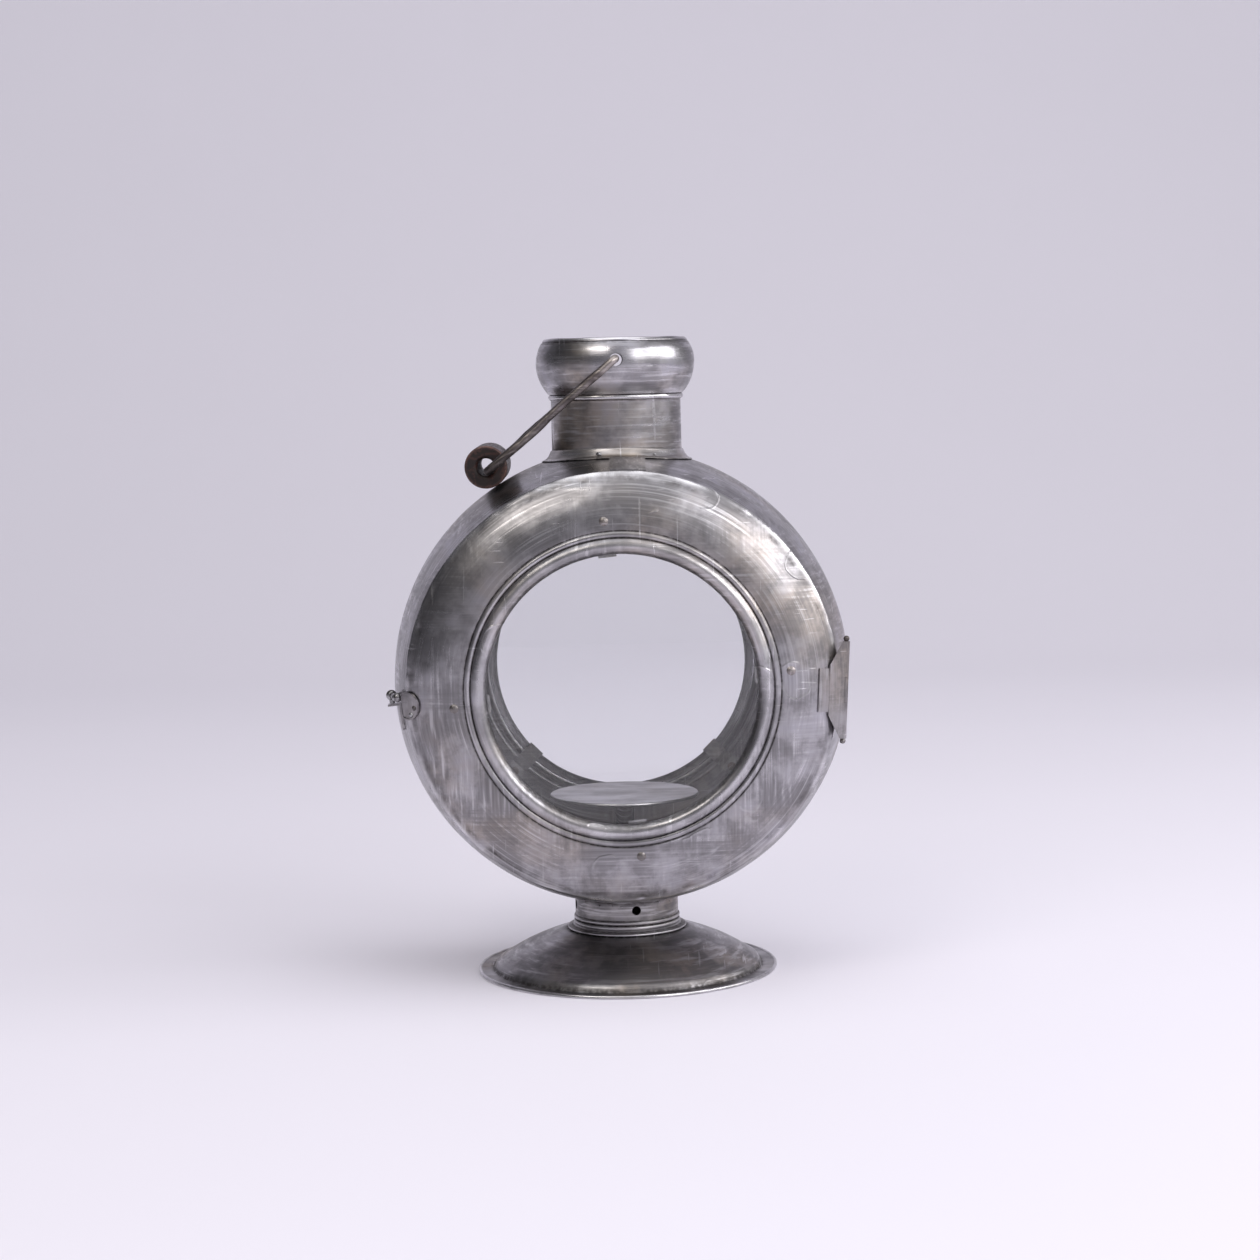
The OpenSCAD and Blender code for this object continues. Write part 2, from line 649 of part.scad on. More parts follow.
// The door's leaf: outer knuckles, a sloping plate cut to a trapezium, a part on the dish
module hinge_door_leaf() color(dark_iron) at_hinge() difference() {
    flat_out = ring_r - 5.4;
    split = mid_knuckle_l / 2 + knuckle_gap;
    union() {
        for (s = [-1, 1]) knuckle(
            hinge_up + min(s * split, s * hinge_l / 2), hinge_up + max(s * split, s * hinge_l / 2)
        );
        difference() {
            intersection() {
                translate([0, 0, hinge_up - hinge_l]) linear_extrude(2 * hinge_l) polygon([
                    [pin_x + 0.3, pin_y - knuckle_r], [flat_out, -dish_at(flat_out, strip + 2 * seat)],
                    [flat_out - 0.4, -dish_at(flat_out - 0.4, 0.35)],
                    [pin_x, pin_y - knuckle_r + strip]
                ]);
                translate([0, 0, hinge_up]) rotate([90, 0, 0]) linear_extrude(2 * ring_face_y) polygon([
                    [pin_x + knuckle_r, -hinge_l / 2], [pin_x - knuckle_r, -hinge_l / 2],
                    [flat_out - 1, -leaf_half_l], [flat_out - 1, leaf_half_l],
                    [pin_x - knuckle_r, hinge_l / 2], [pin_x + knuckle_r, hinge_l / 2]
                ]);
            }
            translate([pin_x, pin_y, hinge_up - split]) cylinder(r = knuckle_r + 0.25, h = 2 * split, $fn = 48);
        }
        intersection() {
            translate([0, 0, -drum_z]) dish_layer(seat, seat + strip, groove_r, ring_r);
            translate([flat_out - leaf_flat_w, -2 * ring_face_y, hinge_up - leaf_half_l])
                cube([leaf_flat_w, 2 * ring_face_y, 2 * leaf_half_l]);
        }
    }
    pin_bore();
}

// The wall's leaf: the middle knuckle, a plate and a part that lies on the wall
module hinge_wall_leaf() color(dark_iron) at_hinge() difference() {
    flat_y = wall_half_w - 6.4;
    half = mid_knuckle_l / 2;
    union() {
        knuckle(hinge_up - half, hinge_up + half);
        intersection() {
            translate([0, 0, hinge_up - hinge_l]) linear_extrude(2 * hinge_l) polygon([
                [pin_x + knuckle_r, pin_y], [wall_r(flat_y) + strip + seat, -flat_y],
                [wall_r(flat_y - 0.6) + strip, 0.6 - flat_y], [wall_r(flat_y - 0.6) + 0.2, 0.6 - flat_y],
                [wall_r(flat_y) + 0.2, -flat_y], [pin_x + knuckle_r - strip, pin_y]
            ]);
            translate([0, 0, hinge_up]) rotate([0, 90, 0]) linear_extrude(2 * drum_r) polygon([
                [-half, pin_y - 1], [-half, pin_y + 2.4], [-leaf_half_l, pin_y + 3.2],
                [-leaf_half_l, 1 - flat_y], [leaf_half_l, 1 - flat_y], [leaf_half_l, pin_y + 3.2],
                [half, pin_y + 2.4], [half, pin_y - 1]
            ]);
        }
        intersection() {
            translate([0, 0, -drum_z]) wall_layer(seat, seat + strip, flat_y - leaf_flat_w - 1, flat_y);
            translate([seam_r / 2, -flat_y, hinge_up - leaf_half_l])
                cube([drum_r, leaf_flat_w, 2 * leaf_half_l]);
        }
    }
    pin_bore();
}

module hinge_pin() color(dark_iron) at_hinge() translate([pin_x, pin_y, hinge_up]) {
    cylinder(r = pin_r, h = hinge_l + 1.2, center = true, $fn = 48);
    for (s = [-1, 1]) translate([0, 0, s * (hinge_l / 2 + 1.3)]) sphere(pin_r + 0.5, $fn = 32);
}

// Keeper: a strip on the wall whose top end is bent out as a shelf
module latch_keeper() color(dark_iron) difference() {
    keep_y = -ball_xy[1];
    low_z = shelf_up - keeper_leg;
    thick = strip + 0.2;
    at_latch() {
        intersection() {
            translate([0, 0, -drum_z]) wall_layer(seat, seat + thick, keep_y - keeper_w, keep_y + keeper_w);
            translate([seam_r / 2, 0, 0]) rotate([90, 0, 90]) linear_extrude(drum_r) {
                translate([-keep_y, low_z + keeper_w / 2]) circle(keeper_w / 2);
                translate([-keep_y - keeper_w / 2, low_z + keeper_w / 2])
                    square([keeper_w, keeper_leg - keeper_w / 2]);
            }
        }
        translate([seam_r, -keep_y - keeper_w / 2, shelf_up - thick])
            cube([wall_r(keep_y) + keeper_out - seam_r, keeper_w, thick]);
    }
    drum_body(seat);
}

// Latch plate: a bordered disc on the door's edge whose outer side is bent back as a lug
fold_c = [
    groove_r + (dish_arc_r + 0.1) * sin(latch_c_angle),
    -dish_y - (dish_arc_r + 0.1) * cos(latch_c_angle)
];
fold_t = [cos(latch_c_angle), sin(latch_c_angle)];
fold_gap = pivot_xy - fold_c;
fold_s = (fold_gap[0] * latch_along[1] - fold_gap[1] * latch_along[0])
    / (fold_t[0] * latch_along[1] - fold_t[1] * latch_along[0]);
fold_at = fold_c + fold_s * fold_t;

// A frame on the door's edge: X along the dish outwards, Y up, Z out of the dish
module on_latch_plate() at_latch() translate([fold_c[0], fold_c[1], latch_plate_up])
    rotate([0, 0, latch_c_angle]) rotate([90, 0, 0]) children();

// A frame at the latch pivot: X back along the wall, Y up, Z out of the wall
module at_pivot() at_latch() translate([pivot_xy[0], pivot_xy[1], latch_pivot_up])
    rotate([0, 0, 90 - latch_turn]) rotate([90, 0, 0]) children();

plate_rivets = [[-4.2, -1.2], [-1.6, -4.6]];
lug_half = 2.6;

module latch_plate() color(dark_iron) difference() {
    union() {
        on_latch_plate() difference() {
            cylinder(r = latch_plate_r, h = strip + 0.5);
            translate([0, 0, strip]) cylinder(r = latch_plate_r - 0.9, h = 2);
            translate([fold_s, -latch_plate_r - 1, -1]) cube([latch_plate_r, 3 * latch_plate_r, 4]);
        }
        intersection() {
            at_latch() translate([0, 0, latch_pivot_up - lug_half]) linear_extrude(2 * lug_half) polygon([
                fold_at - 0.4 * fold_t + [0, -0.1], fold_at + 0.1 * fold_t - [0, strip],
                pivot_xy - 2 * latch_along, pivot_xy + lug_half * latch_along,
                pivot_xy + lug_half * latch_along - strip * latch_out,
                pivot_xy - 2.4 * latch_along - strip * latch_out
            ]);
            at_pivot() translate([0, 0, -10]) linear_extrude(20) {
                circle(lug_half);
                translate([-12, -lug_half]) square([12, 2 * lug_half]);
            }
        }
    }
    on_latch_plate() for (p = plate_rivets) translate([p[0], p[1], -1]) cylinder(r = 0.7 + seat, h = 3);
    at_pivot() translate([0, 0, -3]) cylinder(r = pivot_r + seat, h = 6, $fn = 32);
}

module latch_plate_rivets() color(solder_grey) on_latch_plate() for (p = plate_rivets) translate(p) {
    cylinder(r = 0.7, h = strip + 0.2);
    translate([0, 0, strip + seat]) rivet_dome(1.3, 0.7);
}

module latch_pivot() color(solder_grey) at_pivot() {
    outer = arm_off + boss_r - 0.5;
    translate([0, 0, -strip - 0.4]) cylinder(r = pivot_r, h = outer + strip + 0.9, $fn = 32);
    translate([0, 0, -strip - seat - 0.5]) cylinder(r = pivot_r + 0.7, h = 0.5, $fn = 32);
    translate([0, 0, outer + seat]) rivet_dome(1.7, 0.9);
}

// Arm: a round boss at the pivot and a tapered rod to the knob
module latch_arm() color(dark_iron) at_pivot() difference() {
    union() {
        translate([0, 0, arm_off]) intersection() {
            sphere(boss_r, $fn = 48);
            translate([0, 0, 0.1 - arm_off + boss_r]) cube([6, 6, 2 * boss_r], center = true);
        }
        translate([0, 0, arm_off]) rotate([0, 90, 0])
            cylinder(r1 = latch_rod_r + 0.3, r2 = latch_rod_r, h = latch_arm_l - ball_r + 0.4, $fn = 32);
        translate([latch_arm_l - ball_r - 1.2, 0, arm_off]) rotate([0, 90, 0])
            cylinder(r = latch_rod_r + 0.5, h = 0.9, $fn = 32);
        translate([0, 0, arm_off]) rotate([0, 90, 0]) cylinder(r = 0.8, h = latch_arm_l, $fn = 24);
    }
    translate([0, 0, arm_off + boss_r - 0.5]) cylinder(r = boss_r, h = 3, $fn = 32);
    translate([0, 0, -3]) cylinder(r = pivot_r + seat, h = 9, $fn = 32);
}

// Knob: a ball on the arm's end with a tooth below that lands on the keeper
module latch_ball() color(solder_grey) {
    tooth_h = latch_pivot_up - shelf_up - tooth_gap;
    at_pivot() translate([latch_arm_l, 0, arm_off]) difference() {
        union() {
            sphere(ball_r, $fn = 48);
            rotate([90, 0, 0]) cylinder(r = 1.4, h = tooth_h, $fn = 32);
        }
        translate([-ball_r, 0, 0]) rotate([0, 90, 0]) cylinder(r = 0.85, h = ball_r + 0.1, $fn = 24);
        translate([-ball_r - 1, 0, 0]) rotate([0, 90, 0]) cylinder(r = ball_r, h = 1.45, $fn = 32);
    }
}

foot_dish();
foot_collar();
side_wall();
wall_lap_strap();
color(iron) mirror([0, 1, 0]) ring(0, rear_clip_turn);  // rear_ring
color(pane) mirror([0, 1, 0]) pane_solid();  // rear_glass
color(iron) mirror([0, 1, 0]) clip_set(rear_clip_turn);  // rear_glass_clips
color(solder_grey) mirror([0, 1, 0]) clip_rivet_set(rear_clip_turn);  // rear_clip_rivets
candle_stem();
candle_plate();
neck_flare();
neck_tube();
top_bulge();
top_rim();
hinge_wall_leaf();
hinge_pin();
latch_keeper();
color(iron) ring(door_gap, front_clip_turn);  // door_ring
color(pane) pane_solid();  // door_glass
color(iron) clip_set(front_clip_turn);  // door_glass_clips
color(solder_grey) clip_rivet_set(front_clip_turn);  // door_clip_rivets
hinge_door_leaf();
latch_plate();
latch_plate_rivets();
latch_pivot();
latch_arm();
latch_ball();
bail_wire();
grip_roller();
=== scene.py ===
"""Dresses the round candle lantern: beaten sheet iron, solder, glass, wire and turned wood."""
import logging
import math
from dataclasses import dataclass, field
from enum import Enum
from typing import Callable, Dict, List, Optional, Sequence, Tuple

import bpy
import numpy as np
from mathutils import Matrix


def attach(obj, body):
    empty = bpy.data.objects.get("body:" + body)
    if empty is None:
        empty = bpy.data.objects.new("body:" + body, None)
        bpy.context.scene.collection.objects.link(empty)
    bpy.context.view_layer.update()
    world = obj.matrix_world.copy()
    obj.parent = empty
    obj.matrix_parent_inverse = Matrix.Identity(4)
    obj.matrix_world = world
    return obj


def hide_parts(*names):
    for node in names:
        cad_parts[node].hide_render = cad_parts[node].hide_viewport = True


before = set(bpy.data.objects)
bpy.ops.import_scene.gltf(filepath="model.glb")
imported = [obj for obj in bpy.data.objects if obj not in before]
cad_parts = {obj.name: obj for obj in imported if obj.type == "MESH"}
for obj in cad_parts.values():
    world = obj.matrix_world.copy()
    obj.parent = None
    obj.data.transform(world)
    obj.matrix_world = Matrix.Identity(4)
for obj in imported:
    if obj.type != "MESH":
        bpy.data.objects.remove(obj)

LOG = logging.getLogger("lantern")
Array = np.ndarray
Colour = Tuple[float, float, float]
MM = 0.001


class Grain(Enum):
    """The way the brush ran over a sheet."""

    ROUND_DRUM = "round the drum's axis"
    ROUND_POST = "round the upright axis"
    NONE = "no brush marks"


class Axis(Enum):
    """The axis that a section is turned about."""

    POST = "upright through the middle"
    DRUM = "level from front to back"


@dataclass(frozen=True)
class Sizes:
    """Sizes in millimetres, the same named values as the solids have."""

    sheet: float = 0.8
    foot_sheet: float = 1.0
    foot_r: float = 78.6
    foot_h: float = 22.0
    foot_crown_r: float = 29.0
    foot_rim_w: float = 8.4
    foot_step_h: float = 4.4
    foot_swell: float = 2.0
    collar_r: float = 27.0
    collar_h: float = 14.7
    collar_flange_r: float = 31.2
    vent_r: float = 2.35
    vent_up: float = 12.4
    vent_turn: float = 10.5
    drum_r: float = 118.0
    wall_half_w: float = 58.6
    wall_swell: float = 9.7
    wall_lip_w: float = 4.4
    flue_r: float = 12.0
    flue_hole_r: float = 5.5
    flue_pitch_r: float = 22.0
    draught_r: float = 4.5
    draught_pitch_r: float = 16.0
    ring_lip: float = 0.6
    ring_seat_w: float = 4.0
    ring_edge_d: float = 1.6
    ring_face_y: float = 70.5
    groove_r: float = 79.5
    window_r: float = 67.7
    bead_r: float = 4.2
    ridge_r: float = 2.0
    door_gap: float = 0.2
    glass_t: float = 2.0
    glass_lap: float = 4.3
    glass_swell: float = 2.5
    glass_gap: float = 0.1
    neck_r: float = 33.6
    neck_h: float = 28.3
    neck_bead_r: float = 1.5
    flare_r: float = 39.0
    flare_climb: float = 4.2
    bulge_r: float = 41.0
    bulge_low_r: float = 25.0
    bulge_high_r: float = 17.8
    bulge_low_h: float = 16.5
    bulge_high_h: float = 10.1
    rim_h: float = 2.4
    rim_lip_h: float = 1.1
    wire_r: float = 2.2
    bail_hole_r: float = 3.3
    bail_up: float = 1.5
    bail_play: float = 0.5
    arm_l: float = 85.8
    arm_gap: float = 0.4
    foot_in: float = 5.0
    bend_r: float = 3.2
    grip_r: float = 11.0
    grip_l: float = 56.0
    grip_bore_r: float = 4.5
    grip_dish: float = 1.2
    grip_gap: float = 0.3
    seat: float = 0.05

    @property
    def drum_z(self) -> float:
        """Height of the drum's axis."""
        return self.foot_h + self.collar_h + self.drum_r

    @property
    def crest_z(self) -> float:
        """Height of the drum's highest line."""
        return self.drum_z + self.drum_r

    @property
    def bulge_z(self) -> float:
        """Height of the bulge's lower edge."""
        return self.crest_z + self.neck_h

    @property
    def equator_z(self) -> float:
        """Height of the bulge's widest line."""
        return self.bulge_z + self.bulge_low_h

    @property
    def rim_z(self) -> float:
        """Height of the bulge's upper edge."""
        return self.equator_z + self.bulge_high_h

    @property
    def wall_arc_r(self) -> float:
        """Radius of the wall's swelling section."""
        return (self.wall_half_w ** 2 + self.wall_swell ** 2) / (2 * self.wall_swell)

    @property
    def seam_r(self) -> float:
        """Radius of the wall at its seams."""
        return self.drum_r - self.wall_swell

    @property
    def ring_r(self) -> float:
        """Outer radius of a window ring."""
        return self.seam_r + self.ring_lip

    @property
    def back_y(self) -> float:
        """Distance of a ring's flat back from the drum's middle."""
        return self.ring_face_y - self.sheet

    @property
    def dish_arc_r(self) -> float:
        """Radius of the dish's section."""
        drop = self.ring_face_y - self.wall_half_w - self.ring_edge_d
        return ((self.ring_r - self.groove_r) ** 2 + drop * drop) / (2 * drop)

    @property
    def dish_y(self) -> float:
        """Distance of the dish section's centre from the drum's middle."""
        return self.ring_face_y - self.dish_arc_r

    @property
    def glass_arc_r(self) -> float:
        """Radius of a pane's swelling face."""
        reach = self.window_r + self.glass_lap
        return (reach * reach + self.glass_swell ** 2) / (2 * self.glass_swell)

    def wall_at(self, y: Array) -> Array:
        """Radius of the wall at places along the drum's axis: a shallow arc, widest in the middle."""
        return self.drum_r - self.wall_arc_r + np.sqrt(self.wall_arc_r ** 2 - y * y)

    def crest_at(self, x: Array, y: Array) -> Array:
        """Height of the wall's upper side over places on the floor plan."""
        return self.drum_z + np.sqrt(self.wall_at(y) ** 2 - x * x)

    def belly_at(self, x: Array, y: Array) -> Array:
        """Height of the wall's lower side over places on the floor plan."""
        return self.drum_z - np.sqrt(self.wall_at(y) ** 2 - x * x)

    def dish_at(self, r: float, out: float = 0.0) -> float:
        """Distance of the dish's face from the drum's middle at a radius, grown by out."""
        return self.dish_y + math.sqrt((self.dish_arc_r + out) ** 2 - (r - self.groove_r) ** 2)


SIZES = Sizes()


def noise(points: Array, size: float, seed: int) -> Array:
    """Smooth random values, -1 to 1: hashed corner values of a cube lattice, blended by a fade curve.

    Args:
        points: places, (..., 3), in millimetres.
        size: edge of a lattice cube, in millimetres.
        seed: picks the pattern.

    Returns:
        One value for each place.
    """
    scaled = points / size
    cell = np.floor(scaled)
    part = scaled - cell
    part = part * part * part * (part * (part * 6 - 15) + 10)
    corner = cell.astype(np.int64)
    total = np.zeros(points.shape[:-1])
    for i in (0, 1):
        for j in (0, 1):
            for k in (0, 1):
                mixed = ((corner[..., 0] + i) * 374761393 + (corner[..., 1] + j) * 668265263
                         + (corner[..., 2] + k) * 2147483647 + seed * 1274126177) & 0xFFFFFFFF
                mixed = ((mixed ^ (mixed >> 13)) * 1103515245) & 0xFFFFFFFF
                mixed = (mixed ^ (mixed >> 16)) & 0xFFFFFF
                share = (np.where(i, part[..., 0], 1 - part[..., 0])
                         * np.where(j, part[..., 1], 1 - part[..., 1])
                         * np.where(k, part[..., 2], 1 - part[..., 2]))
                total = total + share * (mixed / float(0x7FFFFF) - 1.0)
    return total


def smooth_step(value: Array, low: float, high: float) -> Array:
    """Rises from 0 at low to 1 at high along a smooth curve."""
    part = np.clip((value - low) / (high - low), 0.0, 1.0)
    return part * part * (3 - 2 * part)


def arc(centre: Tuple[float, float], radius: float, start: float, end: float, count: int) -> Array:
    """Points on a circle from one angle to another, in degrees, with both ends."""
    turn = np.radians(np.linspace(start, end, count))
    return np.stack([centre[0] + radius * np.cos(turn), centre[1] + radius * np.sin(turn)], axis=1)


def chain(*parts: Array) -> Array:
    """Joins lists of points end to end and drops points that repeat the one before."""
    joined = np.concatenate([np.atleast_2d(np.asarray(p, float)) for p in parts])
    step = np.linalg.norm(np.diff(joined, axis=0), axis=1)
    return joined[np.concatenate([[True], step > 1e-6])]


def refine(points: Array, longest: float) -> Array:
    """Puts points between two that are further apart than longest, evenly along the straight line."""
    step = np.linalg.norm(np.diff(points, axis=0), axis=1)
    counts = np.maximum(1, np.ceil(step / longest)).astype(int)
    start = np.repeat(np.arange(len(step)), counts)
    before = np.concatenate([[0], np.cumsum(counts)[:-1]])
    share = (np.arange(counts.sum()) - np.repeat(before, counts)) / np.repeat(counts, counts)
    between = points[start] + share[:, None] * (points[start + 1] - points[start])
    return np.concatenate([between, points[-1:]])


def round_loop(points: Array, count: int) -> Array:
    """A closed smooth curve through corner points: each span is the usual cubic through four neighbours."""
    size = len(points)
    place = np.linspace(0, size, count, endpoint=False)
    i = np.floor(place).astype(int)
    t = (place - i)[:, None]
    a, b, c, d = (points[(i + k) % size] for k in (-1, 0, 1, 2))
    return 0.5 * (2 * b + (c - a) * t + (2 * a - 5 * b + 4 * c - d) * t * t
                  + (3 * b - a - 3 * c + d) * t ** 3)


@dataclass
class Skin:
    """A grid of points, round one way and along a section the other, with the marks materials read."""

    points: Array
    marks: Dict[str, Array] = field(default_factory=dict)
    poles: bool = False

    def push(self, amount: Array) -> None:
        """Moves each point along the skin's own outward direction by amount, in millimetres.

        The outward direction is the cross product of the differences to the four neighbours.
        """
        round_way = np.roll(self.points, -1, 0) - np.roll(self.points, 1, 0)
        if self.poles:
            along = np.gradient(self.points, axis=1)
        else:
            along = np.roll(self.points, -1, 1) - np.roll(self.points, 1, 1)
        out = np.cross(round_way, along)
        length = np.linalg.norm(out, axis=2, keepdims=True)
        out = np.where(length > 1e-9, out / np.maximum(length, 1e-9), 0.0)
        sign = 1.0 if self.volume() > 0 else -1.0
        self.points = self.points + sign * out * amount[..., None]

    def volume(self) -> float:
        """Signed volume: the sum of the cells' triple products over six, positive when faces point out."""
        a = self.points
        b, c = np.roll(a, -1, 0), np.roll(a, -1, 1)
        d = np.roll(b, -1, 1)
        if self.poles:
            a, b, c, d = (p[:, :-1] for p in (a, b, c, d))
        return float((np.cross(a, b) * d).sum() + (np.cross(a, d) * c).sum()) / 6

    def mesh(self, name: str) -> bpy.types.Mesh:
        """Puts the grid into a closed mesh in metres, faces outward, with its marks as attributes.

        Args:
            name: the mesh's name.

        Returns:
            The new mesh.
        """
        rows, cols = self.points.shape[:2]
        keys = np.arange(rows * cols).reshape(rows, cols)
        flat = self.points.reshape(-1, 3)
        marks = {k: v.reshape(-1) for k, v in self.marks.items()}
        if self.poles:
            keep = np.zeros(rows * cols, bool)
            keep[keys[:, 1:-1]] = True
            keep[keys[0, 0]] = keep[keys[0, -1]] = True
            first, last = keys[0, 0], keys[0, -1]
            keys[:, 0], keys[:, -1] = first, last
            renumber = np.cumsum(keep) - 1
            keys = renumber[keys]
            flat = flat[keep]
            marks = {k: v[keep] for k, v in marks.items()}
            a, b = keys[:, 1:-2], np.roll(keys, -1, 0)[:, 1:-2]
            d, c = keys[:, 2:-1], np.roll(keys, -1, 0)[:, 2:-1]
            quads = np.stack([a, b, c, d], axis=-1).reshape(-1, 4)
            after = np.roll(keys, -1, 0)
            caps = np.concatenate([
                np.stack([keys[:, 0], after[:, 1], keys[:, 1]], axis=-1),
                np.stack([keys[:, -1], keys[:, -2], after[:, -2]], axis=-1)])
        else:
            a, b = keys, np.roll(keys, -1, 0)
            d, c = np.roll(keys, -1, 1), np.roll(np.roll(keys, -1, 0), -1, 1)
            quads = np.stack([a, b, c, d], axis=-1).reshape(-1, 4)
            caps = np.zeros((0, 3), int)
        if self.volume() < 0:
            quads, caps = quads[:, ::-1], caps[:, ::-1]
        made = bpy.data.meshes.new(name)
        made.vertices.add(len(flat))
        made.vertices.foreach_set("co", (flat * MM).astype(np.float32).ravel())
        loops = np.concatenate([quads.ravel(), caps.ravel()]).astype(np.int32)
        sizes = np.concatenate([np.full(len(quads), 4), np.full(len(caps), 3)]).astype(np.int32)
        made.loops.add(len(loops))
        made.loops.foreach_set("vertex_index", loops)
        made.polygons.add(len(sizes))
        starts = np.concatenate([[0], np.cumsum(sizes)[:-1]]).astype(np.int32)
        made.polygons.foreach_set("loop_start", starts)
        made.update(calc_edges=True)
        made.polygons.foreach_set("use_smooth", np.ones(len(sizes), bool))
        for mark, values in marks.items():
            layer = made.attributes.new(mark, "FLOAT", "POINT")
            layer.data.foreach_set("value", np.clip(values, 0, 1).astype(np.float32))
        made.validate()
        made.set_sharp_from_angle(angle=math.radians(42))
        return made


def turned(section: Array, steps: int, axis: Axis, front: float = 1.0, poles: bool = False) -> Skin:
    """Turns a section about an axis: the angle is one way of the grid, the section the other.

    Args:
        section: (n, 2), radius and distance along the axis.
        steps: how many times the section is repeated round the axis.
        axis: which axis.
        front: for the drum's axis, 1 when the distance runs to the front and -1 to the back.
        poles: true when the section starts and ends on the axis.

    Returns:
        The grid.
    """
    turn = np.linspace(0, 2 * math.pi, steps, endpoint=False)[:, None]
    r, d = section[None, :, 0], section[None, :, 1]
    if axis is Axis.POST:
        points = np.stack([r * np.cos(turn), r * np.sin(turn), d + 0 * turn], axis=-1)
    else:
        points = np.stack([r * np.cos(turn), -front * d + 0 * turn,
                           SIZES.drum_z + r * np.sin(turn)], axis=-1)
    return Skin(points, poles=poles)


def carried(path: Array, radius: Array, steps: int) -> Skin:
    """Carries a round section along a path: at each point a circle square to the path's direction.

    The frame is passed from point to point by turning it as the direction turns. The ends run
    to a pole, so the tube is closed.

    Args:
        path: (n, 3) points in millimetres.
        radius: (n,) the tube's radius at each point.
        steps: points round the tube.

    Returns:
        The grid, round the tube one way and along it the other.
    """
    way = np.gradient(path, axis=0)
    way /= np.linalg.norm(way, axis=1, keepdims=True)
    side = np.zeros_like(path)
    start = np.array([0.0, 0.0, 1.0]) if abs(way[0, 2]) < 0.9 else np.array([1.0, 0.0, 0.0])
    side[0] = np.cross(way[0], np.cross(start, way[0]))
    side[0] /= np.linalg.norm(side[0])
    for i in range(1, len(path)):
        moved = side[i - 1] - way[i] * (side[i - 1] @ way[i])
        side[i] = moved / np.linalg.norm(moved)
    other = np.cross(way, side)
    turn = np.linspace(0, 2 * math.pi, steps, endpoint=False)[:, None, None]
    ring = np.cos(turn) * side[None] + np.sin(turn) * other[None]
    points = path[None] + ring * radius[None, :, None]
    return Skin(points, poles=True)


def blob(centre: Sequence[float], reach: Sequence[float], seed: int, rough: float = 0.25,
         steps: int = 40) -> Skin:
    """A drop of solder: a sphere's two angles, stretched along three axes and swelled by noise.

    Args:
        centre: its middle, in millimetres.
        reach: half its size along X, Y and Z.
        seed: picks its lumps.
        rough: how strongly the noise swells it.
        steps: points round it.

    Returns:
        The grid.
    """
    turn = np.linspace(0, 2 * math.pi, steps, endpoint=False)[:, None]
    lift = np.linspace(0, math.pi, steps // 2 + 1)[None, :]
    unit = np.stack([np.cos(turn) * np.sin(lift), np.sin(turn) * np.sin(lift),
                     np.cos(lift) + 0 * turn], axis=-1)
    size = 1 + rough * noise(unit * 3 + 40.0, 2.2, seed) + 0.4 * rough * noise(unit * 3, 0.9, seed + 1)
    points = np.array(centre) + unit * size[..., None] * np.array(reach)
    ones = np.ones(points.shape[:2])
    return Skin(points, {"solder": ones, "rub": 0.3 * ones}, poles=True)


def dents(points: Array, count: int, size: Tuple[float, float], seed: int,
          pick: Callable[[Array], Array]) -> Array:
    """Sum of shallow round hollows: each falls off by a smooth bell from its middle.

    Args:
        points: places on the skin, (rows, cols, 3).
        count: how many hollows.
        size: smallest and largest radius.
        seed: picks their places.
        pick: gives the chance of a hollow at each place, 0 to 1.

    Returns:
        A height for each place, 0 where untouched and down to about -1.
    """
    chance = np.random.default_rng(seed)
    flat = points.reshape(-1, 3)
    weight = np.clip(pick(points).reshape(-1), 0, None)
    middles = flat[chance.choice(len(flat), size=count, p=weight / weight.sum())]
    radii = chance.uniform(size[0], size[1], count)
    deep = chance.uniform(0.35, 1.0, count)
    total = np.zeros(len(flat))
    for middle, radius, depth in zip(middles, radii, deep):
        near = np.square(flat - middle).sum(1) / radius ** 2
        total -= depth * np.exp(-2.2 * near)
    return total.reshape(points.shape[:2])


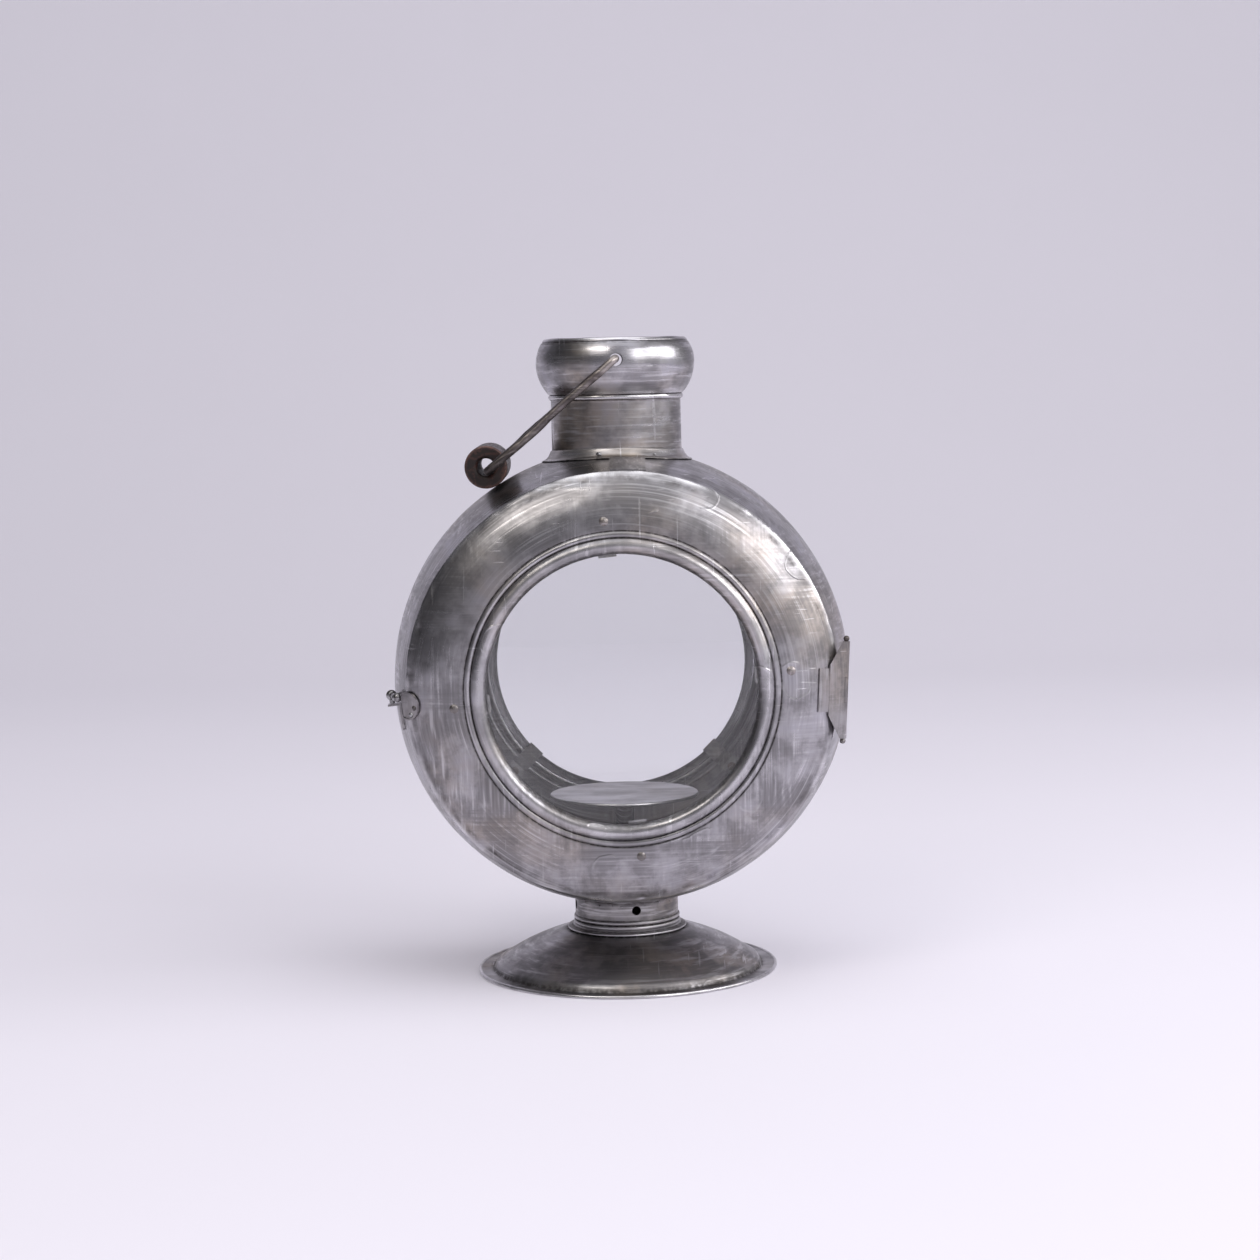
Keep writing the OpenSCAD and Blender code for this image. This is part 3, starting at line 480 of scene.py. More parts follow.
class Wiring:
    """Adds nodes to a shader tree and joins them."""

    def __init__(self, tree: bpy.types.NodeTree) -> None:
        """Keeps the tree.

        Args:
            tree: a material's tree or a node group.
        """
        self.tree = tree

    def add(self, kind: str, inputs: Optional[dict] = None, **settings: object) -> bpy.types.Node:
        """Makes one node.

        Args:
            kind: the node's type.
            inputs: a value, or a socket to join, for each input's name or number.
            settings: the node's own properties.

        Returns:
            The new node.
        """
        node = self.tree.nodes.new(kind)
        for name, value in settings.items():
            setattr(node, name, value)
        for name, value in (inputs or {}).items():
            if isinstance(value, bpy.types.NodeSocket):
                self.tree.links.new(value, node.inputs[name])
            else:
                node.inputs[name].default_value = value
        return node

    def sum(self, kind: str, *values: object, clamp: bool = False) -> bpy.types.NodeSocket:
        """A Math node's result for values or sockets."""
        return self.add("ShaderNodeMath", dict(enumerate(values)), operation=kind,
                        use_clamp=clamp).outputs[0]

    def span(self, value: object, low: float, high: float, out_low: float = 0.0,
             out_high: float = 1.0) -> bpy.types.NodeSocket:
        """A value moved from one range to another along a smooth curve."""
        return self.add("ShaderNodeMapRange", {
            "Value": value, "From Min": low, "From Max": high, "To Min": out_low, "To Max": out_high,
        }, interpolation_type="SMOOTHSTEP").outputs[0]

    def stretch(self, place: object, scale: Colour, shift: Colour = (0.0, 0.0, 0.0)) -> bpy.types.NodeSocket:
        """A place vector scaled and shifted by a Mapping node."""
        return self.add("ShaderNodeMapping", {"Vector": place, "Scale": scale,
                                              "Location": shift}).outputs[0]

    def cloud(self, place: object, scale: float, detail: float = 3.0,
              rough: float = 0.55, bend: float = 0.0) -> bpy.types.NodeSocket:
        """A noise texture's value, 0 to 1."""
        return self.add("ShaderNodeTexNoise", {"Vector": place, "Scale": scale, "Detail": detail,
                                               "Roughness": rough, "Distortion": bend}).outputs[0]

    def mix(self, share: object, low: object, high: object) -> bpy.types.NodeSocket:
        """Blends two colours."""
        node = self.tree.nodes.new("ShaderNodeMix")
        node.data_type = "RGBA"
        for socket, value in zip((node.inputs[0], node.inputs[6], node.inputs[7]), (share, low, high)):
            if isinstance(value, bpy.types.NodeSocket):
                self.tree.links.new(value, socket)
            elif isinstance(value, tuple):
                socket.default_value = (*value, 1.0)
            else:
                socket.default_value = value
        return node.outputs[2]

    def mark(self, name: str) -> bpy.types.NodeSocket:
        """The value of a mark that the mesh carries."""
        return self.add("ShaderNodeAttribute", attribute_name=name).outputs["Fac"]


class Effect:
    """A shader node group that is built once and placed in many materials."""

    made: Dict[str, bpy.types.NodeTree] = {}

    @classmethod
    def group(cls, name: str, inputs: Sequence[Tuple[str, str, object]],
              outputs: Sequence[Tuple[str, str]],
              build: Callable[[Wiring, dict], Dict[str, bpy.types.NodeSocket]]) -> bpy.types.NodeTree:
        """Makes the group, or gives the one already made.

        Args:
            name: the group's name.
            inputs: name, kind and starting value of each input.
            outputs: name and kind of each output.
            build: fills the group and returns the socket for each output.

        Returns:
            The group.
        """
        if name in cls.made:
            return cls.made[name]
        tree = bpy.data.node_groups.new(name, "ShaderNodeTree")
        for label, kind, value in inputs:
            socket = tree.interface.new_socket(name=label, in_out="INPUT", socket_type="NodeSocket" + kind)
            if value is not None:
                socket.default_value = value
        for label, kind in outputs:
            tree.interface.new_socket(name=label, in_out="OUTPUT", socket_type="NodeSocket" + kind)
        wiring = Wiring(tree)
        entry = tree.nodes.new("NodeGroupInput")
        end = tree.nodes.new("NodeGroupOutput")
        results = build(wiring, {label: entry.outputs[label] for label, _, _ in inputs})
        for label, socket in results.items():
            tree.links.new(socket, end.inputs[label])
        cls.made[name] = tree
        return tree

    @classmethod
    def beaten(cls) -> bpy.types.NodeTree:
        """Planishing marks: overlapping soft facets, arc-shaped tool edges and small pits."""

        def build(w: Wiring, given: dict) -> Dict[str, bpy.types.NodeSocket]:
            """Fills the group.

            Args:
                w: the group's wiring.
                given: its input sockets.

            Returns:
                The sockets of its outputs.
            """
            place = given["Place"]
            swim = w.add("ShaderNodeTexNoise", {"Vector": place, "Scale": 55.0, "Detail": 2.0})
            bent = w.add("ShaderNodeVectorMath", {0: swim.outputs["Color"], 1: (0.012, 0.012, 0.012)},
                         operation="MULTIPLY").outputs[0]
            moved = w.add("ShaderNodeVectorMath", {0: place, 1: bent}, operation="ADD").outputs[0]
            facets = w.add("ShaderNodeTexVoronoi", {"Vector": moved, "Scale": 62.0, "Randomness": 1.0},
                           feature="SMOOTH_F1").outputs["Distance"]
            broad = w.cloud(place, 30.0, 2.0, 0.5)
            cells = w.add("ShaderNodeTexVoronoi", {"Vector": moved, "Scale": 38.0, "Randomness": 1.0},
                          feature="F1")
            near = cells.outputs["Distance"]
            inner = w.span(near, 0.30, 0.345)
            outer = w.span(near, 0.375, 0.345)
            arc_line = w.sum("MULTIPLY", inner, outer)
            window = w.span(w.cloud(place, 44.0, 1.0), 0.53, 0.60)
            chosen = w.span(w.add("ShaderNodeSeparateColor", {0: cells.outputs["Color"]}).outputs[0],
                            0.45, 0.55)
            tool = w.sum("MULTIPLY", w.sum("MULTIPLY", arc_line, window), chosen)
            tool = w.sum("MULTIPLY", tool, given["Tool"])
            soft = w.sum("MULTIPLY", w.sum("ADD", facets, broad), given["Facets"])
            small = w.sum("MULTIPLY", w.cloud(place, 240.0, 4.0, 0.6), given["Fine"])
            return {"Height": w.sum("ADD", w.sum("ADD", soft, small), tool), "Tool edge": tool}

        return cls.group("beaten skin", [("Place", "Vector", None), ("Facets", "Float", 1.0),
                                         ("Tool", "Float", 1.0), ("Fine", "Float", 0.2)],
                         [("Height", "Float"), ("Tool edge", "Float")], build)

    @classmethod
    def brushed(cls) -> bpy.types.NodeTree:
        """Brush marks: noise drawn out long one way, in three directions, broken up by broad patches."""

        def build(w: Wiring, given: dict) -> Dict[str, bpy.types.NodeSocket]:
            """Fills the group.

            Args:
                w: the group's wiring.
                given: its input sockets.

            Returns:
                The sockets of its outputs.
            """
            place = given["Place"]
            apart = w.add("ShaderNodeSeparateXYZ", {0: place})
            x, y, z = apart.outputs
            square = w.sum("ADD", w.sum("MULTIPLY", x, x), w.sum("MULTIPLY", z, z))
            away = w.sum("SQRT", square)
            wheel = w.add("ShaderNodeCombineXYZ", {0: w.sum("MULTIPLY", x, 14.0),
                                                   1: w.sum("MULTIPLY", w.sum("ADD", away, w.sum("MULTIPLY", y, 0.8)), 620.0),
                                                   2: w.sum("MULTIPLY", z, 14.0)}).outputs[0]
            ringed = w.cloud(wheel, 1.0, 3.0, 0.6)
            upright = w.cloud(w.stretch(place, (520.0, 200.0, 17.0)), 1.0, 3.0, 0.6)
            level = w.cloud(w.stretch(place, (15.0, 60.0, 560.0)), 1.0, 3.0, 0.6)
            patch = w.cloud(place, 17.0, 2.0, 0.5)
            patch_two = w.cloud(w.stretch(place, (1.0, 1.0, 1.0), (3.1, 0.7, 1.3)), 21.0, 2.0, 0.5)
            crossed = w.add("ShaderNodeMix", {0: w.span(patch, 0.42, 0.58), 2: upright, 3: level}).outputs[0]
            chosen = w.add("ShaderNodeMix", {0: w.span(patch_two, 0.40, 0.62), 2: crossed, 3: ringed}).outputs[0]
            result = w.add("ShaderNodeMix", {0: given["Level"], 2: chosen, 3: level}).outputs[0]
            scratch = w.cloud(w.stretch(place, (70.0, 30.0, 900.0)), 1.0, 1.0, 0.5, 0.2)
            rare = w.sum("MULTIPLY", w.span(scratch, 0.70, 0.74), w.span(patch_two, 0.45, 0.6))
            lean = w.add("ShaderNodeMapping", {"Vector": place, "Scale": (820.0, 60.0, 34.0),
                                               "Rotation": (0.0, 0.62, 0.0)}).outputs[0]
            slant = w.span(w.cloud(lean, 1.0, 0.0), 0.74, 0.78)
            cuts = w.sum("MAXIMUM", rare, w.sum("MULTIPLY", slant, w.span(patch, 0.5, 0.6)))
            return {"Marks": result, "Cuts": cuts}

        return cls.group("brush marks", [("Place", "Vector", None), ("Level", "Float", 0.0)],
                         [("Marks", "Float"), ("Cuts", "Float")], build)

    @classmethod
    def aged(cls) -> bpy.types.NodeTree:
        """The colour of old bright iron: grey, browned in patches, with painted shade and some grime in its crevices,
        bright where rubbed.
        """

        def build(w: Wiring, given: dict) -> Dict[str, bpy.types.NodeSocket]:
            """Fills the group.

            Args:
                w: the group's wiring.
                given: its input sockets.

            Returns:
                The sockets of its outputs.
            """
            place, marks = given["Place"], given["Marks"]
            patch = w.cloud(place, 13.0, 5.0, 0.58, 0.35)
            spots = w.cloud(w.stretch(place, (1.0, 1.0, 1.0), (0.4, 1.7, 0.2)), 46.0, 6.0, 0.62)
            specks = w.cloud(place, 420.0, 3.0, 0.55)
            brown = w.sum("MULTIPLY", w.span(patch, 0.44, 0.66), given["Brown"])
            body = w.mix(brown, given["Metal"], given["Browned"])
            violet = w.sum("MULTIPLY", w.span(spots, 0.52, 0.70), given["Blue"])
            body = w.mix(violet, body, (0.40, 0.40, 0.53))
            dull = w.sum("MULTIPLY", w.span(spots, 0.60, 0.42), given["Dull"])
            dull = w.sum("ADD", dull, w.sum("MULTIPLY", w.span(marks, 0.55, 0.35), 0.22), clamp=True)
            body = w.mix(dull, body, given["Dark"])
            body = w.mix(w.sum("MULTIPLY", w.span(marks, 0.52, 0.68), 0.45), body, given["Bright"])
            # Painted shade: the mesh's crevice mark, broken by specks, darkens the colour towards a near-black tone;
            # on the wire the same mark is random grime
            shade_and_grime_share = w.sum("MULTIPLY", given["Shade and grime"], w.span(specks, 0.30, 0.62, 0.35, 1.0))
            body = w.mix(shade_and_grime_share, body, given["Shade and grime tone"])
            rub = w.sum("MULTIPLY", given["Rub"], w.span(spots, 0.30, 0.60, 0.35, 1.0), clamp=True)
            body = w.mix(rub, body, given["Bright"])
            rough = w.sum("ADD", w.span(patch, 0.3, 0.7, -0.05, 0.07), w.span(marks, 0.3, 0.7, 0.05, -0.05))
            rough = w.sum("ADD", rough, w.sum("MULTIPLY", shade_and_grime_share, 0.22))
            rough = w.sum("ADD", rough, w.sum("MULTIPLY", rub, -0.10))
            rough = w.sum("ADD", rough, given["Rough"], clamp=True)
            return {"Colour": body, "Roughness": rough, "Dirt": shade_and_grime_share}

        grey = (0.4, 0.4, 0.41, 1.0)
        return cls.group("old iron tint", [
            ("Place", "Vector", None), ("Marks", "Float", 0.5), ("Rub", "Float", 0.0),
            ("Shade and grime", "Float", 0.0), ("Metal", "Color", grey), ("Browned", "Color", grey),
            ("Dark", "Color", grey), ("Bright", "Color", grey), ("Shade and grime tone", "Color", grey),
            ("Brown", "Float", 0.5), ("Blue", "Float", 0.1), ("Dull", "Float", 0.5),
            ("Rough", "Float", 0.36)],
            [("Colour", "Color"), ("Roughness", "Float"), ("Dirt", "Float")], build)


class Finish:
    """A finish that makes its material once."""

    name: str = "finish"

    def material(self) -> bpy.types.Material:
        """The Blender material, made on the first call."""
        found = bpy.data.materials.get(self.name)
        if found:
            return found
        made = bpy.data.materials.new(self.name)
        made.use_nodes = True
        made.node_tree.nodes.clear()
        wiring = Wiring(made.node_tree)
        shader = self.build(wiring)
        wiring.add("ShaderNodeOutputMaterial", {"Surface": shader.outputs[0]})
        return made

    def build(self, w: Wiring) -> bpy.types.Node:
        """Makes the nodes and returns the last shader."""
        raise NotImplementedError


@dataclass(frozen=True)
class BeatenIron(Finish):
    """Sheet iron, beaten, brushed and aged. Depths of the relief are in millimetres."""

    name: str = "beaten iron"
    metal: Colour = (0.41, 0.40, 0.42)
    browned: Colour = (0.36, 0.29, 0.22)
    dark: Colour = (0.15, 0.145, 0.15)
    bright: Colour = (0.70, 0.69, 0.71)
    # Near-black tone of the painted crevice shade, and of grime on the wire
    shade_and_grime_tone: Colour = (0.035, 0.03, 0.028)
    brown: float = 0.55
    blue: float = 0.12
    dull: float = 0.55
    rough: float = 0.34
    facets: float = 0.5
    tool: float = 0.5
    fine: float = 0.12
    relief: float = 0.35
    grain: Grain = Grain.ROUND_DRUM
    metallic: float = 1.0

    def build(self, w: Wiring) -> bpy.types.Node:
        """Joins brush marks, beaten relief, age and painted crevice shade over the object's own coordinates.

        Args:
            w: the material's wiring.

        Returns:
            The Principled shader node.
        """
        place = w.add("ShaderNodeTexCoord").outputs["Object"]
        lift = 0.0 if self.grain is Grain.ROUND_POST else -SIZES.drum_z * MM
        place = w.stretch(place, (1.0, 1.0, 1.0), (0.0, 0.0, lift))
        brush = w.add("ShaderNodeGroup", node_tree=Effect.brushed())
        w.tree.links.new(place, brush.inputs["Place"])
        brush.inputs["Level"].default_value = 1.0 if self.grain is Grain.ROUND_POST else 0.0
        skin = w.add("ShaderNodeGroup", node_tree=Effect.beaten())
        w.tree.links.new(place, skin.inputs["Place"])
        for label, value in (("Facets", self.facets), ("Tool", self.tool), ("Fine", self.fine)):
            skin.inputs[label].default_value = value
        tint = w.add("ShaderNodeGroup", node_tree=Effect.aged())
        rub = w.sum("ADD", w.mark("rub"), w.sum("MULTIPLY", skin.outputs["Tool edge"], 0.45))
        rub = w.sum("ADD", rub, w.sum("MULTIPLY", brush.outputs["Cuts"], 0.5), clamp=True)
        # The mesh's crevice mark carries painted shade, and grime on the wire
        for label, socket in (("Place", place), ("Marks", brush.outputs["Marks"]), ("Rub", rub),
                              ("Shade and grime", w.mark("grime"))):
            w.tree.links.new(socket, tint.inputs[label])
        for label, value in (("Metal", self.metal), ("Browned", self.browned), ("Dark", self.dark),
                             ("Bright", self.bright), ("Shade and grime tone", self.shade_and_grime_tone)):
            tint.inputs[label].default_value = (*value, 1.0)
        for label, value in (("Brown", self.brown), ("Blue", self.blue), ("Dull", self.dull),
                             ("Rough", self.rough)):
            tint.inputs[label].default_value = value
        marks = w.sum("MULTIPLY", brush.outputs["Marks"], 0.10)
        cuts = w.sum("MULTIPLY", brush.outputs["Cuts"], -0.10)
        height = w.sum("ADD", w.sum("ADD", skin.outputs["Height"], marks), cuts)
        bump = w.add("ShaderNodeBump", {"Height": height, "Distance": self.relief * MM, "Strength": 1.0})
        return w.add("ShaderNodeBsdfPrincipled", {
            "Base Color": tint.outputs["Colour"], "Roughness": tint.outputs["Roughness"],
            "Metallic": self.metallic, "Normal": bump.outputs[0]})


@dataclass(frozen=True)
class Solder(Finish):
    """Grey solder: lumpy, half bright, dull in its pits."""

    name: str = "old solder"
    body: Colour = (0.42, 0.42, 0.43)
    dark: Colour = (0.12, 0.11, 0.105)
    rough: float = 0.36

    def build(self, w: Wiring) -> bpy.types.Node:
        """Mixes two greys by noise and lumps the surface.

        Args:
            w: the material's wiring.

        Returns:
            The Principled shader node.
        """
        place = w.add("ShaderNodeTexCoord").outputs["Object"]
        lumps = w.cloud(place, 380.0, 4.0, 0.6)
        patches = w.cloud(place, 120.0, 3.0, 0.55)
        colour = w.mix(w.span(patches, 0.58, 0.40), self.body, self.dark)
        bump = w.add("ShaderNodeBump", {"Height": lumps, "Distance": 0.35 * MM, "Strength": 0.8})
        return w.add("ShaderNodeBsdfPrincipled", {
            "Base Color": colour, "Roughness": w.span(lumps, 0.3, 0.7, self.rough - 0.08, self.rough + 0.16),
            "Metallic": 1.0, "Normal": bump.outputs[0]})


@dataclass(frozen=True)
class TurnedWood(Finish):
    """Dark polished wood, its grain along the grip, with turning marks and worn edges."""

    name: str = "turned wood"
    deep: Colour = (0.012, 0.006, 0.005)
    body: Colour = (0.045, 0.019, 0.015)
    worn: Colour = (0.16, 0.085, 0.072)

    def build(self, w: Wiring) -> bpy.types.Node:
        """Draws rings about the grip's length and pores along it.

        Args:
            w: the material's wiring.

        Returns:
            The Principled shader node.
        """
        place = w.add("ShaderNodeTexCoord").outputs["Object"]
        wander = w.add("ShaderNodeTexNoise", {"Vector": w.stretch(place, (60.0, 12.0, 60.0)), "Scale": 1.0,
                                              "Detail": 2.0}).outputs[0]
        rings = w.sum("SINE", w.sum("MULTIPLY", wander, 60.0))
        pores = w.cloud(w.stretch(place, (900.0, 60.0, 900.0)), 1.0, 3.0, 0.6)
        colour = w.mix(w.span(rings, -0.7, 0.9), self.deep, self.body)
        colour = w.mix(w.span(pores, 0.52, 0.40), colour, self.deep)
        colour = w.mix(w.sum("MULTIPLY", w.mark("rub"), w.span(pores, 0.25, 0.6, 0.4, 1.0)), colour, self.worn)
        bump = w.add("ShaderNodeBump", {"Height": pores, "Distance": 0.12 * MM, "Strength": 0.7})
        return w.add("ShaderNodeBsdfPrincipled", {
            "Base Color": colour, "Roughness": w.span(pores, 0.3, 0.7, 0.52, 0.36),
            "Normal": bump.outputs[0], "Specular IOR Level": 0.45})


@dataclass(frozen=True)
class Pane(Finish):
    """Clear glass with a trace of dust. Light's shadow rays pass it, as they do a real pane."""

    name: str = "clear pane"
    tint: Colour = (0.955, 0.96, 0.965)

    def build(self, w: Wiring) -> bpy.types.Node:
        """Lets shadow rays through and roughens the glass a little where it is dusty.

        Args:
            w: the material's wiring.

        Returns:
            The Principled shader node.
        """
        place = w.add("ShaderNodeTexCoord").outputs["Object"]
        dust = w.cloud(place, 60.0, 5.0, 0.6)
        smear = w.cloud(w.stretch(place, (30.0, 30.0, 160.0)), 1.0, 2.0)
        rough = w.sum("ADD", w.span(dust, 0.55, 0.75, 0.0, 0.03), w.span(smear, 0.5, 0.7, 0.0, 0.02))
        waves = w.add("ShaderNodeBump", {"Height": w.cloud(place, 16.0, 1.0), "Distance": 0.06 * MM,
                                         "Strength": 1.0})
        shadow = w.add("ShaderNodeLightPath").outputs["Is Shadow Ray"]
        return w.add("ShaderNodeBsdfPrincipled", {
            "Base Color": (*self.tint, 1.0), "Roughness": rough, "Transmission Weight": 1.0, "IOR": 1.5,
            "Alpha": w.sum("SUBTRACT", 1.0, w.sum("MULTIPLY", shadow, 0.88)), "Normal": waves.outputs[0]})


@dataclass(frozen=True)
class Backdrop(Finish):
    """Pale studio paper. From below it isn't seen, so the foot's underside can be looked at."""

    name: str = "pale paper"
    body: Colour = (0.70, 0.675, 0.745)
    glow: Colour = (0.66, 0.64, 0.70)
    glow_strength: float = 0.25

    def build(self, w: Wiring) -> bpy.types.Node:
        """A matt colour with a faint cloud, and a little light of its own for what the camera sees.

        Args:
            w: the material's wiring.

        Returns:
            The Principled shader node.
        """
        place = w.add("ShaderNodeTexCoord").outputs["Object"]
        cloud = w.cloud(place, 1.6, 3.0)
        colour = w.mix(w.span(cloud, 0.3, 0.7), self.body, tuple(0.985 * c for c in self.body))
        path = w.add("ShaderNodeLightPath").outputs
        seen = w.sum("MAXIMUM", path["Is Camera Ray"], w.sum("MAXIMUM", path["Is Glossy Ray"],
                                                             path["Is Transmission Ray"]))
        back = w.add("ShaderNodeNewGeometry").outputs["Backfacing"]
        return w.add("ShaderNodeBsdfPrincipled", {
            "Base Color": colour, "Roughness": 0.85, "Specular IOR Level": 0.1,
            "Emission Color": (*self.glow, 1.0),
            "Emission Strength": w.sum("MULTIPLY", seen, self.glow_strength),
            "Alpha": w.sum("SUBTRACT", 1.0, back)})


IRON = BeatenIron()
WALL_IRON = BeatenIron(name="wall iron", rough=0.32, tool=0.15, facets=0.45, relief=0.3, blue=0.3, brown=0.4)
NECK_IRON = BeatenIron(name="neck iron", grain=Grain.ROUND_POST, rough=0.30, facets=0.28, tool=0.06,
                       relief=0.3, brown=0.75, browned=(0.40, 0.32, 0.22), blue=0.2)
FOOT_IRON = BeatenIron(name="foot iron", grain=Grain.ROUND_POST, rough=0.36, facets=0.5, tool=0.3,
                       relief=0.3, metal=(0.33, 0.32, 0.33), dull=0.7)
COLLAR_IRON = BeatenIron(name="collar iron", grain=Grain.ROUND_POST, rough=0.46, facets=0.5, tool=0.1,
                         metal=(0.34, 0.325, 0.325), browned=(0.27, 0.215, 0.17), dull=0.7, brown=0.8)
STRAP_IRON = BeatenIron(name="strap iron", rough=0.42, facets=0.8, tool=0.0, metal=(0.36, 0.35, 0.36))
CLIP_IRON = BeatenIron(name="clip iron", rough=0.45, facets=0.5, tool=0.0, metal=(0.5, 0.49, 0.5))
LEAF_IRON = BeatenIron(name="leaf iron", rough=0.34, facets=0.9, tool=0.0, relief=0.35,
                       metal=(0.36, 0.345, 0.35), dull=0.7)
DARK_IRON = BeatenIron(name="dark iron", rough=0.40, facets=0.9, tool=0.0, metal=(0.27, 0.25, 0.245),
                       browned=(0.2, 0.15, 0.115), dark=(0.09, 0.08, 0.078), dull=0.8, relief=0.4)
WIRE_IRON = BeatenIron(name="wire iron", rough=0.42, facets=1.0, tool=0.0, fine=0.3,
                       metal=(0.17, 0.15, 0.15), browned=(0.13, 0.10, 0.085), dark=(0.06, 0.052, 0.05),
                       bright=(0.42, 0.38, 0.36), dull=0.8, relief=0.5)
RIVET_IRON = BeatenIron(name="rivet iron", rough=0.42, facets=0.8, tool=0.0, metal=(0.30, 0.27, 0.25),
                        browned=(0.25, 0.18, 0.13), brown=0.8)
TIN = BeatenIron(name="candle tin", rough=0.40, facets=0.4, tool=0.0, metal=(0.60, 0.59, 0.60), dull=0.3,
                 brown=0.25, grain=Grain.ROUND_POST)
SOLDER = Solder()
WOOD = TurnedWood()
PANE = Pane()


@dataclass
class Assembly:
    """A group of pieces that ride on one body of the solids."""

    body: str = "lantern"
    pieces: List[bpy.types.Object] = field(default_factory=list)

    def place(self, name: str, made: bpy.types.Mesh, finish: Finish, slot: str,
              stands_for: Sequence[str] = ()) -> bpy.types.Object:
        """Makes a piece from a mesh, dresses it and lets it ride.

        Args:
            name: the piece's name.
            made: its mesh, in metres.
            finish: its finish.
            slot: the record's material slot; not used.
            stands_for: the solids that it replaces.

        Returns:
            The new object.
        """
        piece = bpy.data.objects.new(name, made)
        bpy.context.scene.collection.objects.link(piece)
        made.materials.clear()
        made.materials.append(finish.material())
        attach(piece, self.body)
        if stands_for:
            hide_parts(*stands_for)
        self.pieces.append(piece)
        LOG.info("%s: %d faces, rides on %s", name, len(made.polygons), self.body)
        return piece

    def dress(self, node: str, finish: Finish) -> None:
        """Gives a solid of the frame its finish."""
        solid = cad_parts[node]
        for slot in solid.material_slots:
            slot.material = finish.material()
        LOG.info("%s: %s", node, finish.name)

    def build(self) -> None:
        """Makes every piece of the sub-assembly."""
        raise NotImplementedError


def joined(skins: Sequence[Skin], name: str) -> bpy.types.Mesh:
    """One mesh from several skins, made by laying their vertices and faces end to end.

    Args:
        skins: the skins.
        name: the mesh's name.

    Returns:
        The new mesh.
    """
    parts = [skin.mesh(f"{name}_{i}") for i, skin in enumerate(skins)]
    points, loops, sizes, marks, before = [], [], [], {}, 0
    names = sorted({m for skin in skins for m in skin.marks})
    for part in parts:
        co = np.zeros(len(part.vertices) * 3, np.float32)
        part.vertices.foreach_get("co", co)
        index = np.zeros(len(part.loops), np.int32)
        part.loops.foreach_get("vertex_index", index)
        total = np.zeros(len(part.polygons), np.int32)
        part.polygons.foreach_get("loop_total", total)
        points.append(co)
        loops.append(index + before)
        sizes.append(total)
        for mark in names:
            values = np.zeros(len(part.vertices), np.float32)
            if mark in part.attributes:
                part.attributes[mark].data.foreach_get("value", values)
            marks.setdefault(mark, []).append(values)
        before += len(part.vertices)
    made = bpy.data.meshes.new(name)
    made.vertices.add(before)
    made.vertices.foreach_set("co", np.concatenate(points))
    loop_list, size_list = np.concatenate(loops), np.concatenate(sizes)
    made.loops.add(len(loop_list))
    made.loops.foreach_set("vertex_index", loop_list)
    made.polygons.add(len(size_list))
    made.polygons.foreach_set("loop_start", np.concatenate([[0], np.cumsum(size_list)[:-1]]).astype(np.int32))
    made.update(calc_edges=True)
    made.polygons.foreach_set("use_smooth", np.ones(len(size_list), bool))
    for mark, values in marks.items():
        made.attributes.new(mark, "FLOAT", "POINT").data.foreach_set("value", np.concatenate(values))
    made.set_sharp_from_angle(angle=math.radians(42))
    for part in parts:
        bpy.data.meshes.remove(part)
    return made


def pierced(made: bpy.types.Mesh, cutters: Sequence[Skin], name: str) -> bpy.types.Mesh:
    """Cuts holes through a mesh with round cutters and gives the result as a plain mesh.

    Args:
        made: the mesh to cut.
        cutters: closed skins that fill the holes.
        name: the new mesh's name.

    Returns:
        The cut mesh.
    """
    body = bpy.data.objects.new(name + "_body", made)
    tool = bpy.data.objects.new(name + "_tool", joined(cutters, name + "_tool"))
    for thing in (body, tool):
        bpy.context.scene.collection.objects.link(thing)
    cut = body.modifiers.new("holes", "BOOLEAN")
    cut.object, cut.operation, cut.solver = tool, "DIFFERENCE", "EXACT"
    bpy.context.view_layer.update()
    ready = body.evaluated_get(bpy.context.evaluated_depsgraph_get())
    result = bpy.data.meshes.new_from_object(ready)
    result.name = name
    for thing in (body, tool):
        bpy.data.objects.remove(thing)
    result.set_sharp_from_angle(angle=math.radians(42))
    return result


def peg(start: Sequence[float], end: Sequence[float], radius: float, steps: int = 40) -> Skin:
    """A round cutter between two points: a circle carried along a straight path."""
    path = np.linspace(np.array(start, float), np.array(end, float), 6)
    path = np.concatenate([path[:1], path, path[-1:]])
    path[0] -= 1e-4 * (path[-1] - path[1])
    path[-1] += 1e-4 * (path[-2] - path[1])
    size = np.full(len(path), radius)
    size[0] = size[-1] = 0.0
    return carried(path, size, steps)


